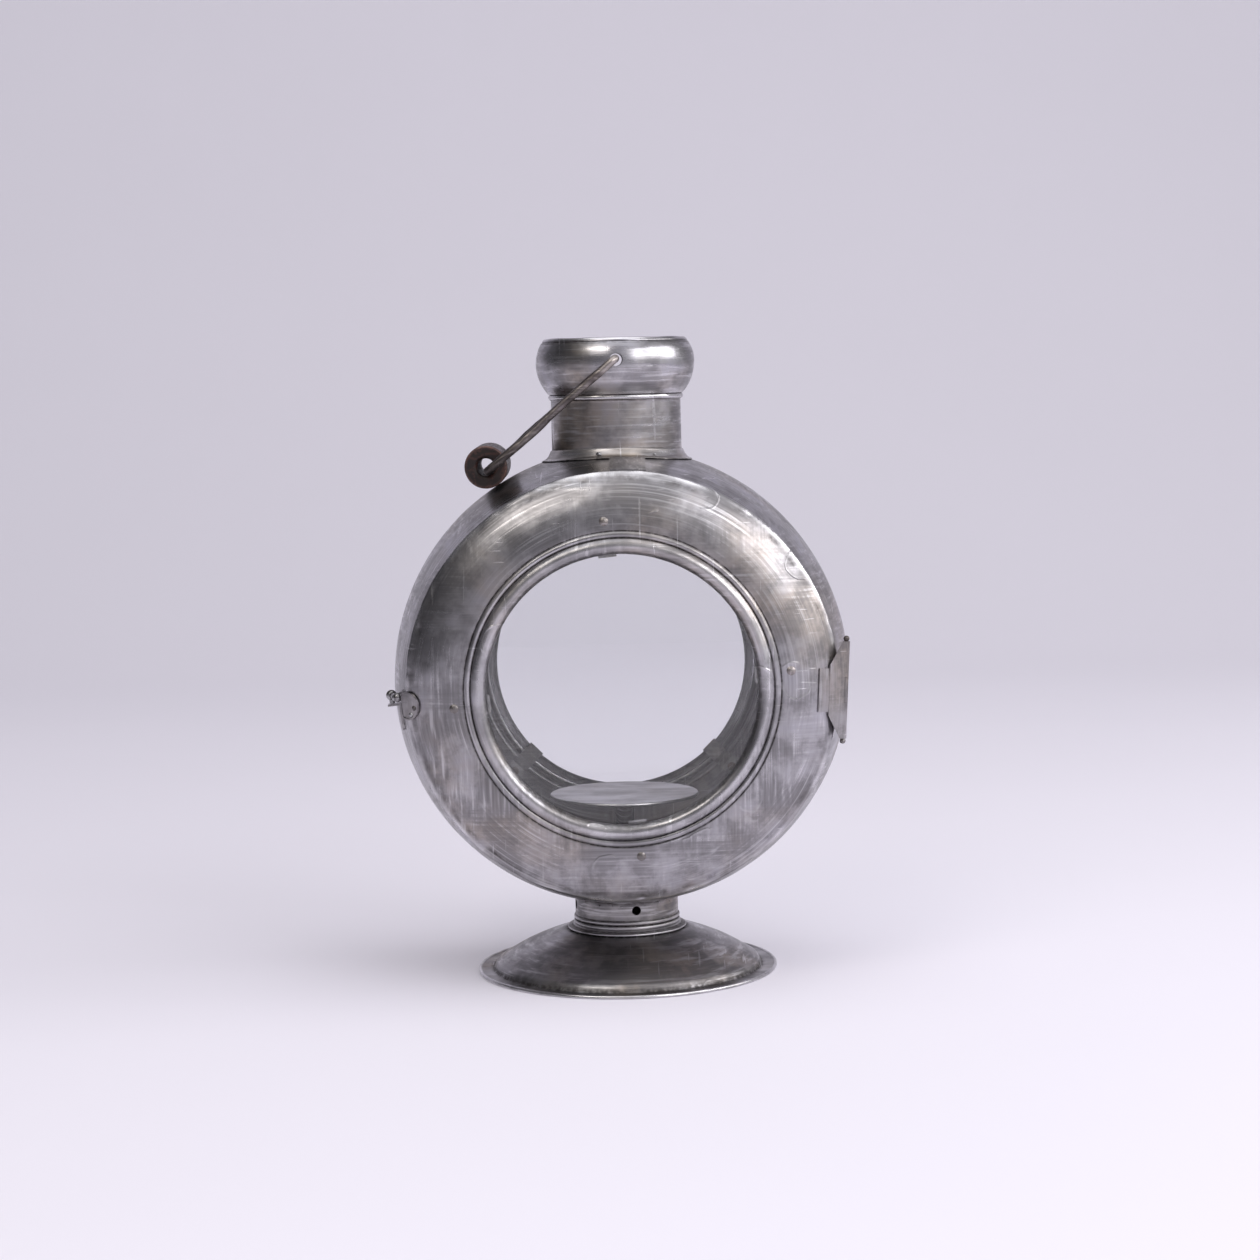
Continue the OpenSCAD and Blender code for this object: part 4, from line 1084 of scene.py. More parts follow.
@dataclass
class Foot(Assembly):
    """The spun foot and the collar that stands on it."""

    steps: int = 360

    def dish_section(self) -> Array:
        """The foot's closed section from its crown's middle over the dome and rim and back below."""
        s = SIZES
        end_r = s.foot_r - s.foot_rim_w - 1.2
        dr, dz = end_r - s.foot_crown_r, s.foot_h - s.foot_step_h
        chord = math.hypot(dr, dz)
        radius = (chord * chord / 4 + s.foot_swell ** 2) / (2 * s.foot_swell)
        lean = math.degrees(math.atan2(dz, dr))
        half = math.degrees(math.asin(chord / 2 / radius))
        centre = ((s.foot_crown_r + end_r) / 2 - (radius - s.foot_swell) * math.sin(math.radians(lean)),
                  (s.foot_h + s.foot_step_h) / 2 - (radius - s.foot_swell) * math.cos(math.radians(lean)))
        a, b = 90 - lean + half, 90 - lean - half
        rim_in = s.foot_r - s.foot_rim_w
        upper = chain([[0, s.foot_h]], [[s.foot_crown_r - 0.6, s.foot_h]],
                      arc(centre, radius, a - 0.3, b + 0.3, 54),
                      [[rim_in - 0.8, 3.55], [rim_in - 0.35, 2.75], [rim_in + 0.05, 1.95],
                       [rim_in + 0.6, 1.2], [rim_in + 1.3, 1.02]],
                      [[s.foot_r - 1.9, 1.02], [s.foot_r - 1.5, 1.4], [s.foot_r - 1.0, 1.62],
                       [s.foot_r - 0.4, 1.5], [s.foot_r - 0.05, 1.1], [s.foot_r - 0.02, 0.35],
                       [s.foot_r - 0.3, 0.02]])
        lower = chain([[rim_in - 0.6, 0.0], [rim_in - 0.95, 0.6], [end_r - 0.3, 2.9]],
                      arc(centre, radius - s.foot_sheet, b + 0.1, a - 0.5, 20),
                      [[s.foot_crown_r - 1.0, s.foot_h - s.foot_sheet], [0, s.foot_h - s.foot_sheet]])
        return np.concatenate([refine(upper, 1.4), refine(lower, 3.0)])

    def dish(self) -> None:
        """The dish: its section turned about the post, then wobbled and dented by hand work."""
        s = SIZES
        section = self.dish_section()
        skin = turned(section, self.steps, Axis.POST, poles=True)
        p = skin.points
        r = np.hypot(p[..., 0], p[..., 1])
        dome = smooth_step(r, 34, 44) * smooth_step(r, 70, 64)
        hollow = dents(p, 46, (5.0, 13.0), 11, lambda q: smooth_step(np.hypot(q[..., 0], q[..., 1]), 52, 64)
                       * (np.hypot(q[..., 0], q[..., 1]) < 69))
        skin.push(dome * (0.10 * noise(p, 16, 3) + 0.16 * hollow * smooth_step(r, 46, 60)))
        rim = smooth_step(r, 71, 76)
        top = smooth_step(p[..., 2], 0.4, 1.0) * rim
        skin.points[..., 2] += top * (0.14 * noise(p * np.array([1, 1, 0]), 9, 5))
        skin.marks = {
            "rub": np.clip(smooth_step(r, 76.6, 77.8) * 0.85 + smooth_step(r, 30.4, 29.0) * 0.4
                           * smooth_step(r, 27.5, 28.6), 0, 1),
            # Painted shade: darker in the crease at the rim's step, at the collar's flange and towards the bottom
            # edge
            "grime": np.clip(np.exp(-((r - 70.6) / 0.9) ** 2) * 0.95 + np.exp(-((r - 31.2) / 1.1) ** 2)
                             + 0.25 * smooth_step(p[..., 2], 0.8, 0.0), 0, 1)}
        self.place("foot_shell", skin.mesh("foot_shell"), FOOT_IRON, "sheet_iron", ["foot_dish"])

    def collar(self) -> None:
        """The collar: a section whose upper edge follows the drum's belly, cut by four vent holes.

        The height of the straight part is shared out evenly between its foot and the belly.
        """
        s = SIZES
        z = s.foot_h
        low = chain([[s.collar_r - 1.0, z + 0.02]], [[s.collar_flange_r - 0.1, z + 0.02]],
                    [[s.collar_flange_r, z + 0.35], [s.collar_flange_r - 0.15, z + 0.72],
                     [s.collar_r + 2.2, z + 1.0], [s.collar_r + 1.5, z + 1.5], [s.collar_r + 0.9, z + 2.05]],
                    arc((s.collar_r - 0.4, z + 3.2), 1.3, -45, 66, 9),
                    arc((s.collar_r - 0.5, z + 5.7), 1.3, -66, 62, 9),
                    [[s.collar_r, z + 7.3]])
        low = refine(low, 0.8)
        rise = np.linspace(0, 1, 18)[1:]
        turn = np.linspace(0, 2 * math.pi, 240, endpoint=False)[:, None]

        def tube(radius: float, start: float, share: Array) -> Array:
            """Part of an upright tube from a height to the belly, at shares of that rise."""
            x, y = radius * np.cos(turn), radius * np.sin(turn)
            top = s.belly_at(x, y) - s.seat - 0.02
            return np.stack([x + 0 * share, y + 0 * share, start + (top - start) * share], axis=-1)

        base = np.stack([low[None, :, 0] * np.cos(turn), low[None, :, 0] * np.sin(turn),
                         low[None, :, 1] + 0 * turn], axis=-1)
        outer = tube(s.collar_r, z + 7.3, rise[None])
        inner = tube(s.collar_r - s.foot_sheet, z + 0.02, np.linspace(1, 0, 8)[None, :-1])
        skin = Skin(np.concatenate([base, outer, inner], axis=1))
        p = skin.points
        r = np.hypot(p[..., 0], p[..., 1])
        skin.push(0.10 * noise(p, 7, 21) * (r > 26.6) * smooth_step(p[..., 2], 23, 26))
        p = skin.points
        gap = s.belly_at(np.clip(p[..., 0], -27, 27), p[..., 1]) - p[..., 2]
        outside = (r > 26.5).astype(float)
        skin.marks = {
            # Painted shade: darker in the collar's grooves and where it runs up under the drum's belly
            "grime": outside * np.clip(np.exp(-((p[..., 2] - 28.9) / 0.35) ** 2) * 0.8
                                       + np.exp(-((p[..., 2] - 26.45) / 0.3) ** 2)
                                       + np.exp(-((p[..., 2] - 23.4) / 0.4) ** 2) * 0.6
                                       + smooth_step(gap, 2.2, 0.2) * 0.7, 0, 1),
            "rub": outside * np.clip(smooth_step(r, 27.5, 27.9) * 0.5 * smooth_step(r, 28.6, 28.2)
                                     + smooth_step(r, 30.6, 31.1) * 0.7, 0, 1)}
        cutters = []
        for k in range(4):
            way = math.radians(s.vent_turn + 90 * k - 90)
            across = np.array([math.cos(way), math.sin(way), 0])
            middle = np.array([0, 0, s.foot_h + s.vent_up])
            cutters.append(peg(middle + across * 20, middle + across * 34, s.vent_r, 36))
        made = pierced(skin.mesh("collar_shell"), cutters, "collar_shell")
        self.place("collar_shell", made, COLLAR_IRON, "sheet_iron", ["foot_collar"])

    def solder_line(self) -> None:
        """An uneven fillet of solder where the collar meets the drum, and specks that ran down."""
        s = SIZES
        turn = np.linspace(0, 2 * math.pi, 220, endpoint=False)
        ring = np.stack([27.15 * np.cos(turn), 27.15 * np.sin(turn), 0 * turn], axis=1)
        ring[:, 2] = s.belly_at(ring[:, 0], ring[:, 1]) - 0.15
        size = 0.55 + 0.28 * noise(ring, 6, 8) + 0.12 * noise(ring, 1.8, 9)
        size = np.clip(size, 0.2, 0.95)
        around = np.linspace(0, 2 * math.pi, 14, endpoint=False)
        out = np.stack([np.cos(turn), np.sin(turn), 0 * turn], axis=1)
        up = np.array([0, 0, 1.0])
        points = (ring[:, None] + size[:, None, None] * (np.cos(around)[None, :, None] * out[:, None]
                                                         + 0.8 * np.sin(around)[None, :, None] * up))
        fillet = Skin(points, {"solder": np.ones(points.shape[:2])})
        chance = np.random.default_rng(31)
        specks = []
        for k in range(16):
            way = chance.uniform(0, 2 * math.pi)
            x, y = 27.0 * math.cos(way), 27.0 * math.sin(way)
            top = float(s.belly_at(np.array(x), np.array(y)))
            size_k = chance.uniform(0.28, 0.6)
            specks.append(blob((x, y, top - chance.uniform(0.8, 3.2)), (size_k, size_k, size_k * 0.8),
                               60 + k, 0.3, 16))
        self.place("collar_solder", joined([fillet, *specks], "collar_solder"), SOLDER, "bright_iron")

    def build(self) -> None:
        """Makes the dish, the collar and the solder."""
        self.dish()
        self.collar()
        self.solder_line()


@dataclass
class Drum(Assembly):
    """The drum's wall, its strap, the rear ring and what stands inside."""

    steps: int = 480

    def wall(self) -> None:
        """The wall: a swelling arc turned about the drum's axis with turned-in edges, beaten and pierced."""
        s = SIZES
        half = math.degrees(math.asin(s.wall_half_w / s.wall_arc_r))
        middle = (s.drum_r - s.wall_arc_r, 0.0)
        section = chain(
            [[s.seam_r - s.wall_lip_w, -s.wall_half_w]],
            refine(np.array([[s.seam_r - s.wall_lip_w, -s.wall_half_w], [s.seam_r - 0.35, -s.wall_half_w]]), 1.5),
            arc(middle, s.wall_arc_r, -half + 0.12, half - 0.12, 74),
            refine(np.array([[s.seam_r - 0.35, s.wall_half_w], [s.seam_r - s.wall_lip_w, s.wall_half_w]]), 1.5),
            [[s.seam_r - s.wall_lip_w, s.wall_half_w - s.sheet], [s.seam_r - 1.2, s.wall_half_w - s.sheet]],
            arc(middle, s.wall_arc_r - s.sheet, half - 0.5, -half + 0.5, 22),
            [[s.seam_r - 1.2, s.sheet - s.wall_half_w], [s.seam_r - s.wall_lip_w, s.sheet - s.wall_half_w]])
        skin = turned(section, self.steps, Axis.DRUM)
        p = skin.points
        r = np.hypot(p[..., 0], p[..., 2] - s.drum_z)
        outer = (r > s.wall_at(p[..., 1]) - 0.4) & (np.abs(p[..., 1]) < s.wall_half_w - 0.4)
        near_seam = smooth_step(np.abs(p[..., 1]), 46, 57)
        crown = smooth_step(p[..., 2], 262, 256)
        hollow = dents(p, 240, (2.2, 6.0), 5, lambda q: smooth_step(np.abs(q[..., 1]), 50, 57))
        height = 0.11 * noise(p, 24, 1) + 0.05 * noise(p, 9, 2) + 0.20 * hollow * near_seam
        skin.push(np.minimum(height, 0.10) * outer * crown)
        skin.marks = {
            "rub": outer * np.clip(smooth_step(np.abs(p[..., 1]), 55.2, 57.6)
                                   * (0.45 + 0.75 * noise(p, 13, 14)), 0, 1),
            # Painted shade: darker along the seams where the rings meet the wall
            "grime": np.clip(smooth_step(np.abs(p[..., 1]), 57.2, 58.4)
                             * (0.75 + 0.5 * noise(p, 7, 15)), 0, 1)}
        cutters = [peg((0, 0, s.drum_z + 60), (0, 0, s.drum_z + 125), s.flue_r, 60)]
        for k in range(8):
            x, y = (s.flue_pitch_r * f(math.radians(45 * k)) for f in (math.cos, math.sin))
            cutters.append(peg((x, y, s.drum_z + 60), (x, y, s.drum_z + 125), s.flue_hole_r))
        for k in range(4):
            x, y = (s.draught_pitch_r * f(math.radians(45 + 90 * k)) for f in (math.cos, math.sin))
            cutters.append(peg((x, y, s.drum_z - 125), (x, y, s.drum_z - 60), s.draught_r))
        made = pierced(skin.mesh("drum_wall"), cutters, "drum_wall")
        self.place("drum_wall", made, WALL_IRON, "sheet_iron", ["side_wall"])

    def build(self) -> None:
        """Makes the wall and the rear ring and dresses the rest."""
        self.wall()
        ring = WindowRing(body=self.body, front=-1.0, gap=0.0, seed=70)
        ring.build()
        self.pieces += ring.pieces
        self.dress("wall_lap_strap", STRAP_IRON)
        self.dress("rear_glass_clips", CLIP_IRON)
        self.dress("rear_clip_rivets", RIVET_IRON)
        self.dress("candle_stem", DARK_IRON)
        self.dress("candle_plate", TIN)


@dataclass
class WindowRing(Assembly):
    """A dished ring with its bead and ridge, and the pane behind it."""

    front: float = 1.0
    gap: float = 0.2
    seed: int = 40
    steps: int = 480

    def section(self) -> Array:
        """The ring's closed section: edge, dish, groove, ridge, bead, and back along the inside."""
        s = SIZES
        low = s.wall_half_w + self.gap
        ridge = s.groove_r - 0.3 - math.sqrt(s.ridge_r ** 2 - s.sheet ** 2)
        bead = s.window_r + s.bead_r
        half = math.degrees(math.asin((s.ring_r - s.groove_r) / s.dish_arc_r))
        meet_r = ((ridge ** 2 - bead ** 2) + (s.bead_r ** 2 - s.ridge_r ** 2)) / (2 * (ridge - bead))
        meet_h = math.sqrt(s.bead_r ** 2 - (meet_r - bead) ** 2)
        ridge_end = math.degrees(math.atan2(meet_h, meet_r - ridge))
        bead_start = math.degrees(math.atan2(meet_h, meet_r - bead))
        ridge_start = math.degrees(math.asin(s.sheet / s.ridge_r))
        edge = s.dish_at(s.ring_r)
        outside = chain(
            [[s.ring_r - 0.15, low], [s.ring_r, low + 0.2], [s.ring_r, edge - 0.35], [s.ring_r - 0.2, edge - 0.08]],
            arc((s.groove_r, s.dish_y), s.dish_arc_r, 90 - half + 0.7, 90, 52),
            [[s.groove_r - 0.12, s.ring_face_y - 0.1]],
            arc((ridge, s.back_y), s.ridge_r, ridge_start + 6, ridge_end, 12),
            arc((bead, s.back_y), s.bead_r, bead_start, 180, 30))
        inside_half = math.degrees(math.asin((s.ring_r - s.ring_seat_w - s.groove_r) / (s.dish_arc_r - s.sheet)))
        inside = chain(
            arc((bead, s.back_y), s.bead_r - s.sheet, 180, 0, 12),
            arc((ridge, s.back_y), s.ridge_r - s.sheet, 180, 0, 6),
            [[s.groove_r, s.back_y]],
            arc((s.groove_r, s.dish_y), s.dish_arc_r - s.sheet, 90, 90 - inside_half, 16),
            [[s.ring_r - s.ring_seat_w, low], [s.ring_r - 2.0, low]])
        return np.concatenate([outside, inside])

    def shell(self) -> None:
        """The ring turned about the drum's axis, beaten all over and hammered hardest at its edge."""
        s = SIZES
        skin = turned(self.section(), self.steps, Axis.DRUM, self.front)
        p = skin.points
        r = np.hypot(p[..., 0], p[..., 2] - s.drum_z)
        out = -self.front * p[..., 1]
        face = out > s.dish_y + np.sqrt(np.maximum((s.dish_arc_r - 0.4) ** 2 - (r - s.groove_r) ** 2, 0))
        dish = face * smooth_step(r, 80.2, 83.5)
        edge = face * smooth_step(r, 101.5, 107.5)
        shape = 0.13 * noise(p, 22, self.seed) + 0.075 * noise(p, 11, self.seed + 1)
        shape += 0.16 * dents(p, 60, (4.0, 9.0), self.seed + 2,
                              lambda q: (np.hypot(q[..., 0], q[..., 2] - s.drum_z) > 84) * 1.0) * (1 - edge)
        hammer = 0.34 * dents(p, 170, (1.6, 4.2), self.seed + 3, lambda q: np.exp(
            -((np.hypot(q[..., 0], q[..., 2] - s.drum_z) - 106.5) / 2.2) ** 2)) * edge
        bead = face * (r < 76) * (0.05 * noise(p, 7, self.seed + 5) + 0.03 * noise(p, 2.6, self.seed + 6))
        skin.push(dish * np.minimum(shape, 0.12) + hammer + bead)
        p = skin.points
        lip = smooth_step(r, 107.6, 108.7)
        wander = 1 + lip * (0.0016 * noise(p, 14, self.seed + 7) + 0.0009 * noise(p, 4, self.seed + 8))
        skin.points[..., 0] *= wander
        skin.points[..., 2] = s.drum_z + (skin.points[..., 2] - s.drum_z) * wander
        seam_noise = noise(p, 12, self.seed + 9)
        skin.marks = {
            "rub": face * np.clip(0.55 * np.exp(-((r - 72.2) / 1.7) ** 2)
                                  + 0.35 * np.exp(-((r - 77.2) / 0.8) ** 2)
                                  + smooth_step(r, 106.2, 108.4) * (0.55 + 0.8 * seam_noise), 0, 1),
            # Painted shade: darker in the groove and beside the bead, patchily near the edge, inside the bead and on
            # the ring's inner side
            "grime": np.clip(face * (np.exp(-((r - 79.35) / 0.42) ** 2) * 0.95
                                     + np.exp(-((r - 75.9) / 0.36) ** 2) * 0.85
                                     + np.exp(-((r - 105.4) / 1.3) ** 2) * (0.25 + 0.55 * noise(p, 6, self.seed + 4)))
                             + (r < 69.4) * 0.45 + (r > 108.4) * (out < 59.6) * 0.9, 0, 1)}
        name = "door_shell" if self.front > 0 else "rear_shell"
        node = "door_ring" if self.front > 0 else "rear_ring"
        self.place(name, skin.mesh(name), IRON, "sheet_iron", [node])

    def pane(self) -> None:
        """The pane: two shallow caps and a ground edge turned about the drum's axis."""
        s = SIZES
        reach = s.window_r + s.glass_lap
        middle = s.back_y - s.glass_gap - math.sqrt(s.glass_arc_r ** 2 - s.window_r ** 2)
        r = np.concatenate([np.linspace(0, reach - 0.5, 40), [reach - 0.15, reach]])
        front = np.stack([r, middle + np.sqrt(s.glass_arc_r ** 2 - r * r)], axis=1)
        front[-1, 1] -= 0.35
        back = np.stack([r, middle + np.sqrt((s.glass_arc_r - s.glass_t) ** 2 - r * r)], axis=1)
        back[-1, 1] += 0.35
        skin = turned(np.concatenate([front, back[::-1]]), 240, Axis.DRUM, self.front, poles=True)
        name = "door_pane" if self.front > 0 else "rear_pane"
        node = "door_glass" if self.front > 0 else "rear_glass"
        self.place(name, skin.mesh(name), PANE, "clear_glass", [node])

    def build(self) -> None:
        """Makes the ring and its pane."""
        self.shell()
        self.pane()


@dataclass
class Chimney(Assembly):
    """The neck with its flared foot, the bulge and the rolled rim."""

    steps: int = 300

    def flare(self) -> None:
        """The flared foot: a hollow curve carried round the neck, each point lifted by the drum's crest."""
        s = SIZES
        inner = s.neck_r + s.seat
        t = np.linspace(0, 1, 26)
        r = s.flare_r - 1.2 - t * (s.flare_r - 1.9 - inner)
        curve = np.stack([r, s.sheet + s.seat + (s.flare_climb - s.sheet) * t * t], axis=1)
        low = np.array([[inner, s.seat + 0.1], [s.flare_r - 0.1, s.seat + 0.1], [s.flare_r, 0.3],
                        [s.flare_r - 0.1, 0.62], [s.flare_r - 0.5, 0.78]])
        section = np.concatenate([refine(low, 1.2), curve, [[inner, s.flare_climb + 0.35]]])
        turn = np.linspace(0, 2 * math.pi, self.steps, endpoint=False)[:, None]
        x, y = section[None, :, 0] * np.cos(turn), section[None, :, 0] * np.sin(turn)
        skin = Skin(np.stack([x, y, s.crest_at(x, y) + section[None, :, 1]], axis=-1))
        p = skin.points
        rr = np.hypot(p[..., 0], p[..., 1])
        lifted = smooth_step(section[None, :, 1] + 0 * turn, 0.4, 0.8)
        skin.push(lifted * smooth_step(rr, 34, 35) * 0.10 * noise(p, 6, 33))
        skin.points[..., 2] += smooth_step(rr, 37.6, 38.9) * (0.16 * noise(p, 8, 34) + 0.1)
        skin.marks = {"rub": lifted * np.clip(smooth_step(rr, 37.4, 38.6) * (0.6 + 0.5 * noise(p, 9, 35))
                                              + 0.25 * smooth_step(rr, 36.6, 35.4), 0, 1),
                      # Painted shade: darker at the flare's outer edge against the drum and where it meets the neck
                      "grime": np.clip(smooth_step(rr, 38.75, 38.98) + smooth_step(rr, 34.4, 33.8) * 0.6, 0, 1)}
        self.place("flare_shell", skin.mesh("flare_shell"), NECK_IRON, "sheet_iron", ["neck_flare"])

    def tube(self) -> None:
        """The tube: straight up from the drum's crest to the bulge, with one bead near its top."""
        s = SIZES
        turn = np.linspace(0, 2 * math.pi, self.steps, endpoint=False)[:, None]
        bead_z = s.bulge_z - s.neck_bead_r
        upper = chain([[s.neck_r, bead_z - 1.75]], arc((s.neck_r - 0.2, bead_z), s.neck_bead_r, -76, 76, 14),
                      [[s.neck_r, bead_z + 1.75], [s.neck_r, s.bulge_z + 1.45],
                       [s.neck_r - s.sheet, s.bulge_z + 1.45]])
        share = np.linspace(0, 1, 34)[None, :-1]
        x, y = s.neck_r * np.cos(turn), s.neck_r * np.sin(turn)
        low = s.crest_at(x, y) + s.seat
        outer = np.stack([x + 0 * share, y + 0 * share, low + (bead_z - 1.75 - low) * share], axis=-1)
        top = np.stack([upper[None, :, 0] * np.cos(turn), upper[None, :, 0] * np.sin(turn),
                        upper[None, :, 1] + 0 * turn], axis=-1)
        ri = s.neck_r - s.sheet
        xi, yi = ri * np.cos(turn), ri * np.sin(turn)
        li = s.crest_at(xi, yi) + s.seat
        back = np.linspace(0, 1, 12)[None, 1:]
        inner = np.stack([xi + 0 * back, yi + 0 * back, s.bulge_z + 1.45 + (li - s.bulge_z - 1.45) * back], axis=-1)
        skin = Skin(np.concatenate([outer, top, inner], axis=1))
        p = skin.points
        rr = np.hypot(p[..., 0], p[..., 1])
        free = smooth_step(p[..., 2], 277.5, 280) * smooth_step(p[..., 2], 299.8, 297.5) * (rr > 33.2)
        skin.push(free * (0.10 * noise(p * np.array([1, 1, 0.6]), 15, 41) - 0.04))
        skin.marks = {"rub": (rr > 33.4) * np.clip(smooth_step(rr, 34.3, 34.8) * 0.7, 0, 1),
                      # Painted shade: darker above and below the bead and near the drum's crest
                      "grime": (rr > 33.3) * np.clip(
                          np.exp(-((p[..., 2] - (bead_z - 1.8)) / 0.4) ** 2) * 0.5
                          + np.exp(-((p[..., 2] - (bead_z + 1.7)) / 0.4) ** 2) * 0.9
                          + smooth_step(p[..., 2] - s.crest_at(np.clip(p[..., 0], -34, 34), p[..., 1]),
                                        5.6, 4.4) * 0.45, 0, 1)}
        self.place("neck_shell", skin.mesh("neck_shell"), NECK_IRON, "sheet_iron", ["neck_tube"])

    def bulge(self) -> None:
        """The bulge: two arcs, wide below and tight above, turned about the post, with two holes."""
        s = SIZES
        low_c, high_c = (s.bulge_r - s.bulge_low_r, s.equator_z), (s.bulge_r - s.bulge_high_r, s.equator_z)
        low_a = -math.degrees(math.asin(s.bulge_low_h / s.bulge_low_r))
        high_a = math.degrees(math.asin(s.bulge_high_h / s.bulge_high_r))
        in_low, in_high = s.bulge_low_r - s.sheet, s.bulge_high_r - s.sheet
        inner_low = -math.degrees(math.asin(s.bulge_low_h / in_low))
        inner_high = math.degrees(math.asin(s.bulge_high_h / in_high))
        section = chain(arc(low_c, s.bulge_low_r, low_a, 0, 26), arc(high_c, s.bulge_high_r, 1.5, high_a, 18),
                        arc(high_c, in_high, inner_high, 0, 8), arc(low_c, in_low, -2, inner_low, 10))
        skin = turned(section, self.steps, Axis.POST)
        p = skin.points
        rr = np.hypot(p[..., 0], p[..., 1])
        outer = np.zeros(len(section))
        outer[1:43] = 1
        keep = smooth_step(np.abs(p[..., 2] - 314), 12, 9)
        skin.push(outer[None] * keep * (0.13 * noise(p, 13, 51) + 0.10 * dents(
            p, 40, (3.0, 7.0), 52, lambda q: (np.abs(q[..., 2] - 316) < 9) * 1.0) - 0.02))
        skin.marks = {"rub": outer[None] * np.clip(smooth_step(p[..., 2], 303.5, 301.2) * 0.5
                                                   + smooth_step(rr, 40.2, 40.95) * 0.16, 0, 1),
                      # Painted shade: darker just under the rim and at the bulge's lower edge
                      "grime": outer[None] * np.clip(smooth_step(p[..., 2], 326.4, 327.5) * 0.95
                                                     + smooth_step(p[..., 2], 301.6, 301.0) * 0.5, 0, 1)}
        hole_z = s.equator_z + s.bail_up - s.bail_play
        cutters = [peg((s.bail_play, side * 28, hole_z), (s.bail_play, side * 46, hole_z), s.bail_hole_r, 48)
                   for side in (-1, 1)]
        made = pierced(skin.mesh("bulge_shell"), cutters, "bulge_shell")
        self.place("bulge_shell", made, NECK_IRON, "sheet_iron", ["top_bulge"])

    def rim(self) -> None:
        """The rolled rim: a smooth closed section turned about the post, with small waves along it."""
        s = SIZES
        edge = s.bulge_r - s.bulge_high_r + math.sqrt(s.bulge_high_r ** 2 - s.bulge_high_h ** 2)
        corners = np.array([
            [edge - 0.55, 0.02], [edge - 0.55, s.rim_h * 0.4], [edge - 1.3, s.rim_h * 0.84],
            [edge - 2.2, s.rim_h * 0.99], [edge - 3.05, s.rim_h * 0.9], [edge - 3.5, s.rim_h * 0.6],
            [edge - 3.5, 0.0], [edge - 3.48, -s.rim_lip_h], [edge - 2.74, -s.rim_lip_h],
            [edge - 2.7, -0.05], [edge - 1.6, 0.02]])
        section = round_loop(corners, 60)
        section[:, 1] = np.maximum(section[:, 1], -s.rim_lip_h)
        section[:, 1] += s.rim_z
        skin = turned(section, self.steps, Axis.POST)
        p = skin.points
        high = smooth_step(p[..., 2], s.rim_z + 0.5, s.rim_z + 2.2)
        skin.points[..., 2] -= high * (0.16 + 0.16 * noise(p, 10, 57))
        skin.points[..., :2] *= (1 + 0.0022 * high * noise(p, 16, 58))[..., None]
        rr = np.hypot(p[..., 0], p[..., 1])
        skin.marks = {"rub": np.clip(high * (0.5 + 0.5 * noise(p, 8, 59)), 0, 1),
                      # Painted shade: darker on the rim's underside next to the bulge
                      "grime": np.clip(smooth_step(p[..., 2], s.rim_z + 0.9, s.rim_z)
                                       * smooth_step(rr, edge - 1.6, edge - 0.8), 0, 1)}
        self.place("rim_shell", skin.mesh("rim_shell"), NECK_IRON, "sheet_iron", ["top_rim"])

    def drops(self) -> None:
        """Two drops of solder on the flared foot."""
        s = SIZES
        skins = []
        for k, (way, r, size) in enumerate(((-1.83, 35.6, 1.5), (-1.02, 36.3, 0.8), (2.2, 36.0, 1.0))):
            x, y = r * math.cos(way), r * math.sin(way)
            z = float(s.crest_at(np.array(x), np.array(y))) + 1.9
            skins.append(blob((x, y, z), (size, size * 0.8, size * 0.75), 80 + k, 0.3, 28))
        self.place("flare_solder", joined(skins, "flare_solder"), SOLDER, "bright_iron")

    def build(self) -> None:
        """Makes the flared foot, tube, bulge, rim and solder."""
        self.flare()
        self.tube()
        self.bulge()
        self.rim()
        self.drops()


@dataclass
class Door(Assembly):
    """The glazed door with its clips, and the hinge leaf and latch plate that it carries."""

    body: str = "door"

    def build(self) -> None:
        """Makes the ring and the pane and dresses the small parts."""
        ring = WindowRing(body=self.body, front=1.0, gap=SIZES.door_gap, seed=40)
        ring.build()
        self.pieces += ring.pieces
        self.dress("door_glass_clips", CLIP_IRON)
        self.dress("door_clip_rivets", RIVET_IRON)
        self.dress("hinge_door_leaf", LEAF_IRON)
        self.dress("latch_plate", LEAF_IRON)
        self.dress("latch_plate_rivets", SOLDER)
        self.dress("latch_pivot", SOLDER)


@dataclass
class Fittings(Assembly):
    """The wall's hinge leaf, the pin and the latch's keeper."""

    def build(self) -> None:
        """Dresses the fittings on the wall."""
        self.dress("hinge_wall_leaf", LEAF_IRON)
        self.dress("hinge_pin", DARK_IRON)
        self.dress("latch_keeper", LEAF_IRON)


@dataclass
class Latch(Assembly):
    """The latch's arm and knob."""

    body: str = "latch"

    def build(self) -> None:
        """Dresses the arm and the knob."""
        self.dress("latch_arm", LEAF_IRON)
        self.dress("latch_ball", SOLDER)


